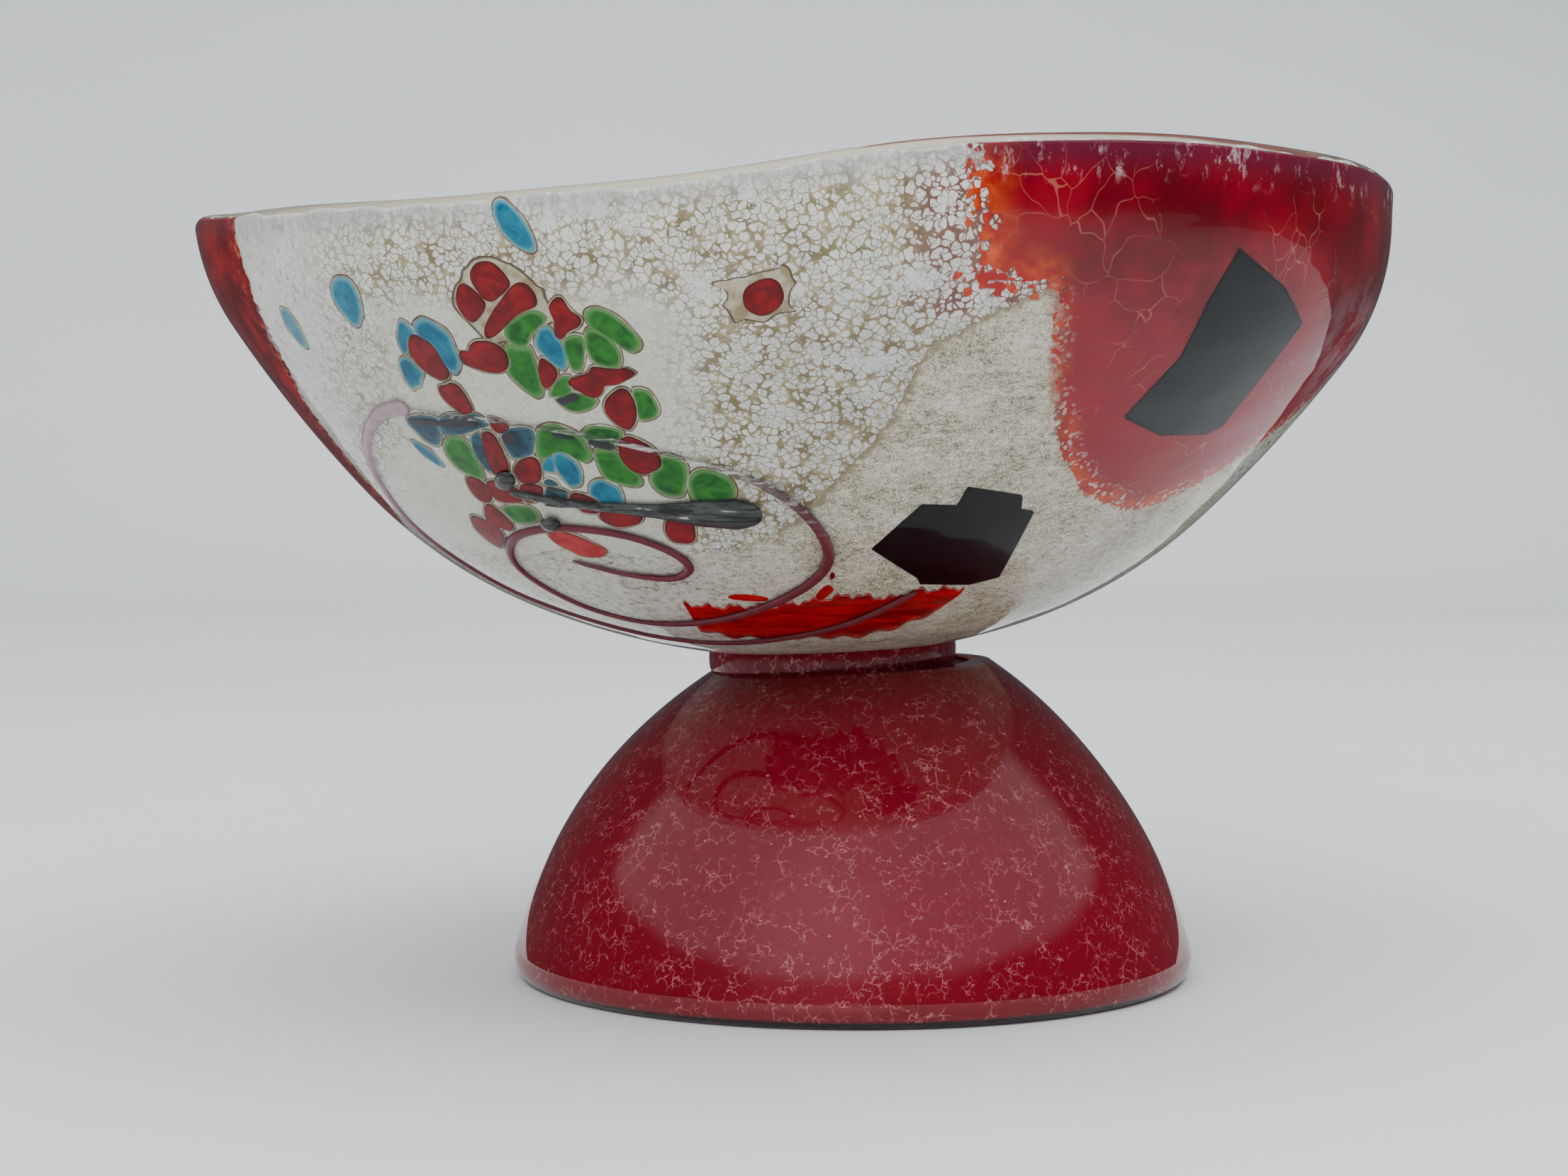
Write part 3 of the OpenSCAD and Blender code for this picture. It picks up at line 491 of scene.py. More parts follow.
def panel_red():
    """The large red panel: dark ruby cloud, orange scarlet beside its left edge, where it breaks into
    blobs, a finer broken edge below, thin pale veins, purple streaked with white under the rim, and a
    painted pale reflection low on the right."""
    f = Finish("red panel glass", Roughness=0.2, Specular_IOR_Level=0.2)
    inside, drop, x, z = f.value("inside"), f.value("drop"), axis_part(f, 0), axis_part(f, 2)
    left = 1 - x.step(0.048, 0.058)
    blob = f.cells(600.0, "Color", "F1", vector=f.warped(300.0, 0.0016)) + 0.0
    grain = f.cells(1100.0, "Color", "F1", vector=f.warped(600.0, 0.0008)) + 0.0
    wide = (inside * 0.105 + 0.12 - blob * 0.95).step(-0.05, 0.05)
    narrow = ((inside + 5.0 * (f.noise(150.0, 4.0, 0.7) - 0.5)) * 0.36 + 0.32 - grain * 0.9).step(-0.06, 0.06)
    core = f.mix(f.noise(45.0, 4.0, 0.6).step(0.35, 0.65), (0.14, 0.0004, 0.006), (0.31, 0.002, 0.014))
    core = f.mix(1 - z.step(0.135, 0.160), core, f.mix(f.noise(90.0, 4.0, 0.65), (0.26, 0.001, 0.012), (0.40, 0.006, 0.022)))
    scarlet = f.mix(f.noise(170.0, 4.0, 0.7).step(0.38, 0.62), (0.44, 0.010, 0.006), (0.74, 0.10, 0.016))
    away = inside + 6.0 * (f.noise(80.0, 4.0) - 0.5)
    warm = ((1 - away.step(5.0, 14.0)) * left).at_least((1 - away.step(1.0, 6.0)) * 0.8)
    colour = f.mix(warm, core, scarlet)
    vein = (1 - f.cells(110.0, vector=f.warped(70.0, 0.016)).step(0.004, 0.016)) * f.noise(42.0).step(0.48, 0.60)
    colour = f.mix(vein * 0.35, colour, (0.74, 0.30, 0.18))
    frit = grain.step(0.70, 0.74) * (1 - inside.step(1.0, 7.0)) * (1 - left)
    colour = f.mix(frit * 0.8, colour, (0.74, 0.70, 0.64))
    streak = f.noise(260.0, 6.0, 0.75, vector=f.stretched(1.0, 1.0, 0.6))
    lip = 1 - (drop + 9.0 * (streak - 0.5)).step(2.5, 9.5)
    feather = streak.step(0.53, 0.66) * (1 - drop.step(6.0, 11.0)) * f.noise(34.0, 2.0).step(0.42, 0.56)
    colour = f.mix(lip * 0.8, colour, (0.13, 0.012, 0.035))
    colour = f.mix(feather * 0.75, colour, (0.70, 0.60, 0.62))
    # Painted reflection: a pale patchy haze low on the right, near the bowl's edge.
    pale_reflection = x.step(0.108, 0.128) * (1 - z.step(0.140, 0.165)) * f.noise(130.0, 4.0, 0.7).step(0.42, 0.60)
    colour = f.mix(pale_reflection * 0.7, colour, (0.62, 0.52, 0.54))
    f.set(Base_Color=colour, Alpha=wide * left + narrow * (1 - left))
    return f.material


def band_red():
    """The dark red band at the left edge, ragged and speckled along its inner side."""
    f = Finish("red edge glass", Roughness=0.2, Specular_IOR_Level=0.2)
    inside, drop = f.value("inside"), f.value("drop")
    grain = f.cells(700.0, "Color", "F1", vector=f.warped(400.0, 0.0012)) + 0.0
    ragged = (inside + 5.0 * (f.noise(170.0, 5.0, 0.7) - 0.5)) * 0.30 + 0.25 - grain * 0.8
    body = f.mix(f.noise(80.0, 4.0, 0.65).step(0.35, 0.7), (0.13, 0.001, 0.004), (0.46, 0.010, 0.010))
    spark = grain.step(0.62, 0.68) * (1 - inside.step(1.0, 8.0))
    colour = f.mix(spark * 0.8, body, (0.60, 0.10, 0.04))
    streak = f.noise(760.0, 4.0, 0.65, vector=f.stretched(1.0, 1.0, 0.13))
    lip = 1 - (drop + 5.0 * (streak - 0.5)).step(2.0, 7.0)
    f.set(Base_Color=f.mix(lip * 0.45, colour, (0.16, 0.05, 0.06)), Alpha=ragged.step(-0.06, 0.06))
    return f.material


def silver():
    """Silver leaf under glass: fine salt-and-pepper grain over slow beige and grey clouds, short level
    streaks, a few dark creases, paler low on the left, and a broken edge with a tan crease on it."""
    f = Finish("silver leaf", Roughness=0.45, Metallic=0.15)
    x, z, inside = axis_part(f, 0), axis_part(f, 2), f.value("inside")
    grain = f.noise(2300.0, 2.0, 0.8)
    mottle = f.noise(640.0, 4.0, 0.7, vector=f.stretched(0.8, 0.8, 1.6))
    cloud = f.noise(85.0, 4.0, 0.65)
    level = f.noise(300.0, 3.0, 0.6, vector=f.stretched(0.25, 0.25, 2.4)).step(0.55, 0.70)
    crease = 1 - f.cells(95.0, vector=f.warped(90.0, 0.010)).step(0.010, 0.045)
    tone = grain * 0.62 + mottle * 0.34 + cloud * 0.26 + level * 0.05 - crease * 0.03
    colour = f.add("ShaderNodeValToRGB", "Color", {"Fac": tone}, stops=[
        (0.45, (0.09, 0.070, 0.040)), (0.54, (0.37, 0.32, 0.22)), (0.62, (0.68, 0.62, 0.47)),
        (0.74, (0.94, 0.90, 0.78))])
    pale = (1 - z.step(0.084, 0.120)) * (1 - x.step(-0.03, 0.01))
    colour = f.mix(pale * mottle.step(0.36, 0.56) * 0.8, colour, (0.90, 0.89, 0.84))
    ragged = inside + 5.0 * (f.noise(150.0, 5.0, 0.7) - 0.5) + 3.0 * (f.noise(600.0, 3.0) - 0.5)
    line = (1 - (ragged - 0.5).step(0.2, 1.7)) * x.step(-0.010, 0.0) * (1 - x.step(0.045, 0.06))
    colour = f.mix(line * 0.85, colour, (0.30, 0.225, 0.11))
    f.set(Base_Color=colour, Alpha=ragged.step(-0.3, 0.5), Roughness=0.30 + 0.3 * mottle)
    f.height(mottle + grain * 0.5, 0.4, 0.0005)
    return f.material


def tile_glass(name, body, haze, light, low, high):
    """Sheet glass tile: near black with a faint brushed haze, and lighter towards its lower side, where
    light comes through the thinner glass."""
    f = Finish(name, Roughness=0.3, Specular_IOR_Level=0.08)
    brushed = f.noise(220.0, 4.0, 0.65, vector=f.stretched(0.3, 0.3, 1.0))
    z = axis_part(f, 2) + 0.006 * (f.noise(60.0, 2.0) - 0.5)
    f.set(Base_Color=f.mix(1 - z.step(low, high), f.mix(brushed, body, haze), light))
    f.height(f.noise(90.0, 2.0), 0.15, 0.0006)
    return f.material


def strip_red():
    """Bright red strip: clear scarlet with darker drawn lines along it."""
    f = Finish("bright red strip glass", Roughness=0.1, Coat_Weight=0.6)
    lines = f.noise(170.0, 5.0, 0.7, vector=f.stretched(0.35, 0.6, 3.0)).step(0.36, 0.66)
    f.set(Base_Color=f.mix(lines, (0.20, 0.001, 0.002), (0.62, 0.004, 0.006)))
    return f.material


def thread_glass():
    """Aubergine thread, mauve and clearer where it was pulled thin at the left."""
    f = Finish("aubergine thread glass", Roughness=0.2, Specular_IOR_Level=0.15)
    along = f.value("along")
    thin = (along + 0.10 * (f.noise(90.0, 3.0) - 0.5)).step(0.50, 0.78)
    swirl = f.noise(240.0, 3.0, 0.6)
    dark = f.mix(swirl, (0.070, 0.010, 0.014), (0.15, 0.030, 0.040))
    f.set(Base_Color=f.mix(thin * 0.85, dark, f.mix(swirl, (0.26, 0.16, 0.19), (0.50, 0.38, 0.42))))
    return f.material


def inner_thread_glass():
    """The inner run: clear at its start over the chips, with pale streaks of painted highlight there,
    full aubergine from the first bend on.
    """
    f = Finish("inner thread glass", Roughness=0.2, Specular_IOR_Level=0.15)
    along = f.value("along")
    swirl = f.noise(240.0, 3.0, 0.6)
    dark = f.mix(swirl, (0.070, 0.010, 0.014), (0.15, 0.030, 0.040))
    # Painted highlight: pale streaks along the clear start of the run, over a faint grey veil.
    streak = f.noise(500.0, 3.0, vector=f.stretched(0.15, 1.0, 2.0)).step(0.50, 0.62)
    start = 1 - along.step(0.20, 0.34)
    f.set(Base_Color=f.mix(start, dark, f.mix(streak, (0.10, 0.09, 0.09), (0.62, 0.60, 0.56))),
          Alpha=1 - start * (0.80 - 0.40 * streak))
    return f.material


def rod_glass():
    """Smoky clear rod with long pale and dark streaks."""
    f = Finish("smoky rod glass", Roughness=0.14, Specular_IOR_Level=0.25)
    streak = f.noise(520.0, 4.0, 0.65, vector=f.stretched(0.10, 1.0, 1.6))
    grey = f.mix(streak.step(0.38, 0.55), (0.008, 0.009, 0.010), (0.050, 0.052, 0.050))
    f.set(Base_Color=f.mix(streak.step(0.63, 0.69), grey, (0.42, 0.42, 0.39)))
    return f.material


def foot_red():
    """Ruby layer of the foot: deep red with slow clouding, lighter at the rim, and a fine lace of pink
    silvery threads that gathers in patches."""
    f = Finish("foot ruby glass", Roughness=0.3, Specular_IOR_Level=0.1)
    z = axis_part(f, 2)
    cloud = f.noise(18.0, 3.0, 0.6)
    deep = f.mix(cloud, (0.20, 0.001, 0.011), (0.35, 0.003, 0.022))
    deep = f.mix(1 - (z + 0.004 * (f.noise(50.0, 2.0) - 0.5)).step(0.0045, 0.0075), deep, (0.24, 0.002, 0.010))
    lace = (1 - f.cells(330.0, vector=f.warped(420.0, 0.0044)).step(0.0, 0.055)) * f.noise(210.0, 3.0, 0.7).step(0.44, 0.58)
    dust = f.noise(1100.0, 4.0, 0.7).step(0.62, 0.70) * f.noise(150.0, 2.0).step(0.5, 0.6)
    where = f.noise(42.0, 4.0, 0.7).step(0.34, 0.54)
    fleck = (lace.at_least(dust * 0.8)) * (0.25 + 0.75 * where)
    f.set(Base_Color=f.mix(fleck * 0.75, deep, (0.78, 0.30, 0.31)))
    return f.material


def leaf_flecks():
    """Torn silver leaf seen through red: small pink scraps."""
    f = Finish("pink silver flecks", Roughness=0.4, Metallic=0.2)
    f.set(Base_Color=f.mix(f.noise(500.0, 3.0), (0.50, 0.13, 0.14), (0.80, 0.42, 0.42)))
    return f.material


def rose_glass():
    """Clear casing of the foot, faintly rosy from the ruby beneath."""
    f = Finish("rose cased glass", Roughness=0.02, IOR=1.42, Transmission_Weight=1.0)
    f.set(Base_Color=f.mix(f.noise(12.0, 2.0), (0.96, 0.78, 0.81), (0.99, 0.88, 0.90)))
    f.height(f.noise(20.0, 2.0), 0.2, 0.004)
    return f.material


GLASS = clear_glass()
RED = chip_glass("red chip glass", (0.15, 0.001, 0.004), (0.33, 0.006, 0.010), (0.07, 0.002, 0.003), 0.8, 0.86)
GREEN = chip_glass("green chip glass", (0.006, 0.10, 0.012), (0.030, 0.24, 0.022), (0.17, 0.36, 0.12))
BLUE = chip_glass("blue chip glass", (0.004, 0.12, 0.22), (0.012, 0.24, 0.36), (0.14, 0.42, 0.50))
# Painted refraction shade: a darker copy of the blue chip glass, for blue chips seen through the clear thread and rod.
DEEP = chip_glass("blue chip glass with painted shade", (0.010, 0.035, 0.060), (0.028, 0.105, 0.160), (0.09, 0.24, 0.31), 0.55)
BRIGHT = chip_glass("bright red chip glass", (0.42, 0.006, 0.010), (0.66, 0.035, 0.035), (0.40, 0.03, 0.02), 0.7, 0.84)


def put(obj, material, slot, *nodes):
    """Gives a piece its finish, lets it ride on the object and stand for its CAD nodes."""
    obj.data.materials.append(material)
    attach(obj, "root")
    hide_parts(*nodes)
    return obj


# ---------------------------------------------------------------- bowl layers
put(shell("bowl_clear_casing", 0.0, WALL, rim_at, 14), GLASS, "clear_glass",
    "bowl_outer_casing", "bowl_inner_casing")
put(shell("white_crackle_layer", T_CRACKLE, T_GROUND + 0.2, lambda a: rim_at(a) - 1.7
          + 0.4 * np.sin(23 * a) * np.sin(5 * a) + 0.25 * np.sin(61 * a), 4), crackle(), "white_enamel",
    "white_crackle")
put(shell("beige_ground_layer", T_GROUND, 3.4, lambda a: rim_at(a) - 2.2, 4), ground(), "beige_enamel",
    "beige_ground")


def bound_turn(points):
    """Front-elevation points as turns, in degrees, and heights."""
    p = np.asarray(points, float)
    return np.degrees(np.arcsin(p[:, 0] / radius_at(p[:, 1]))), p[:, 1]


def free_edge(points, side=1):
    """Signed distance in millimetres from a place on the wall to a patch's boundary line, measured along
    the side and round the bowl. It is above 0 on the patch's own side of the line, found by counting how
    often a ray crosses the line closed far above."""
    p = np.asarray(points, float)
    run = np.linspace(0, len(p) - 1, 400)
    t = np.radians(np.interp(run, np.arange(len(p)), p[:, 0]))
    level = length_at(np.interp(run, np.arange(len(p)), p[:, 1]))

    def distance(turn, length):
        r = np.interp(length, SIDE[:, 0], SIDE[:, 1])
        best = np.full(turn.shape, 1e9)
        for k in range(0, 400, 20):
            gap = np.hypot((turn[..., None] - t[k:k + 20]) * r[..., None], length[..., None] - level[k:k + 20])
            best = np.minimum(best, gap.min(-1))
        a, b = np.append(t, [t[-1], t[0]]), np.append(level, [500.0, 500.0])
        a2, b2 = np.roll(a, -1), np.roll(b, -1)
        odd = np.zeros(turn.shape, bool)
        for u, v, u2, v2 in zip(a, b, a2, b2):
            hit = ((u > turn) != (u2 > turn)) & (length < v + (turn - u) * (v2 - v) / (u2 - u + 1e-12))
            odd ^= hit
        return np.where(odd, best, -best) * side
    return distance


PANEL_EDGE = [(13.8, 200), (14.2, 184), (13.4, 176), (14.8, 168), (13.8, 160), (14.6, 156), (17, 157),
              (20, 156.5), (23, 156), (24.3, 147), (25.3, 140), (31, 125.5), (38, 117), (49, 113),
              (56, 116), (66, 125), (76, 139), (85, 150), (96, 158), (108, 166), (118, 180), (122, 200)]
turn = np.radians(np.linspace(12.4, 124.0, 300))
low = np.interp(np.degrees(turn), [12.4, 14.4, 17, 20, 24.3, 25.3, 31, 38, 49, 56, 66, 76, 85, 96, 108, 118, 124],
                [153, 153, 153, 153, 143, 136, 121.5, 113, 109, 112, 121, 135, 146, 154, 162, 176, 182])
put(patch("red_panel_glass", turn, np.minimum(low, rim_at(turn) - 5), rim_at(turn) - 1.8, 1.42, 2.3,
          rows=110, fade=free_edge(PANEL_EDGE)), panel_red(), "panel_red", "red_panel")

BAND_EDGE = [(-128, 200), (-122, 178), (-112, 160), (-98, 138), (-90, 122), (-84, 108), (-78, 103), (-72, 105),
             (-69.5, 112), (-69, 121), (-68, 129), (-65, 138), (-62.5, 147), (-61.5, 157), (-61, 167), (-61, 176), (-61, 200)]
turn = np.radians(np.linspace(-130.0, -58.0, 190))
low = np.interp(np.degrees(turn), [-130, -122, -112, -98, -90, -84, -78, -70, -65, -62, -58],
                [186, 172, 154, 133, 117, 103, 99, 100, 108, 118, 122])
put(patch("red_edge_glass", turn, np.minimum(low, rim_at(turn) - 4), rim_at(turn) - 1.6, 1.42, 2.3,
          fade=free_edge(BAND_EDGE)), band_red(), "band_red", "red_edge_band")

SILVER_EDGE = [(-180, 92), (-130, 90), (-100, 89), (-80, 92), (-66, 95), (-54, 97), (-41, 99), (-31, 102),
               (-21, 100), (-12.6, 101.5), (-4, 104), (2, 110.5), (8.5, 124.5), (11.5, 135), (12.2, 146),
               (15.2, 149.5), (20, 156.5), (24, 159), (27, 158), (35, 128), (50, 122), (60, 124),
               (75, 120), (90, 112), (120, 98), (150, 94), (180, 92)]
turns, heights = np.array(SILVER_EDGE, float).T
turn = np.radians(np.linspace(-180, 180, 361))
put(patch("silver_leaf_sheet", turn, np.full(361, 75.2), np.interp(np.degrees(turn), turns, heights) + 3.0, 1.5,
          2.3, rows=120, fade=free_edge(SILVER_EDGE, -1)), silver(), "silver", "silver_leaf")

# ---------------------------------------------------------------- tiles, strip, halo and chips
UPPER_TILE = [(92.5, 169.5), (104.5, 162), (110, 155), (94.5, 132.5), (90.5, 130.5), (79.5, 130),
              (70.5, 133.5), (81.5, 146.5), (86.5, 158.5)]
LOWER_TILE = [(38.5, 118), (50.5, 116.5), (50.5, 113.5), (53.5, 113), (47.5, 98), (41, 96.2), (30, 96.2),
              (29.5, 97.5), (19, 104), (29, 114), (36.5, 114)]

def angular(points, count=140):
    """Sheet-glass corners, only just softened."""
    return smooth_outline(np.repeat(np.asarray(points, float), 3, 0), 2, count)


put(inlay("upper_tile_glass", [angular(UPPER_TILE)], 1.2, 0.25, 14.0), tile_glass(
    "grey black tile glass", (0.006, 0.009, 0.010), (0.014, 0.018, 0.020), (0.024, 0.028, 0.030),
    0.133, 0.141), "tile_grey", "upper_black_tile")
put(inlay("lower_tile_glass", [angular(LOWER_TILE)], 1.2, 0.25, 14.0), tile_glass(
    "black tile glass", (0.002, 0.001, 0.002), (0.005, 0.003, 0.005), (0.010, 0.007, 0.009),
    0.0955, 0.0985), "tile_black", "lower_black_tile")

x = np.linspace(-21, 40, 120)
strip_top = np.interp(x, [-21, -15, -2, 15, 24, 30, 40], [90, 89.6, 90.2, 93.5, 93, 95, 95.6])
strip_low = np.interp(x, [-21, -17.5, -10, 17, 26, 35.5, 40], [89.6, 83.2, 81.6, 82.6, 85.2, 90, 95.2])
strip_top = strip_top + 0.5 * np.sin(x * 1.1) + 0.3 * np.sin(x * 2.7)
strip_low = np.minimum(strip_low + 0.4 * np.sin(x * 0.9 + 1), strip_top - 0.3)
spine = np.stack([np.concatenate([x, x[::-1]]), np.concatenate([strip_low, strip_top[::-1]])], 1)


def ribbon(name, x, low, high, depth, dome, sink=2.3, rows=24):
    """A long inlaid piece between a lower and an upper line, crowned across its width."""
    share = np.linspace(0, 1, rows)[:, None]
    z = low + share * (high - low)
    lift = (1 - np.abs(2 * share - 1) ** 6) ** 0.5 + 0 * z
    top = front_point(x + 0 * z, z, depth - dome * lift)
    back = front_point(x + 0 * z[::-1], z[::-1], sink + 0 * z)
    rings = np.concatenate([top, back]).transpose(1, 0, 2)
    ends = rings[[0, -1]].mean(1)
    return turned(name, rings[::-1], ends[1:], ends[:1])


put(ribbon("red_strip_glass", x, strip_low, strip_top, 1.4, 0.3), strip_red(), "strip_red", "red_strip")

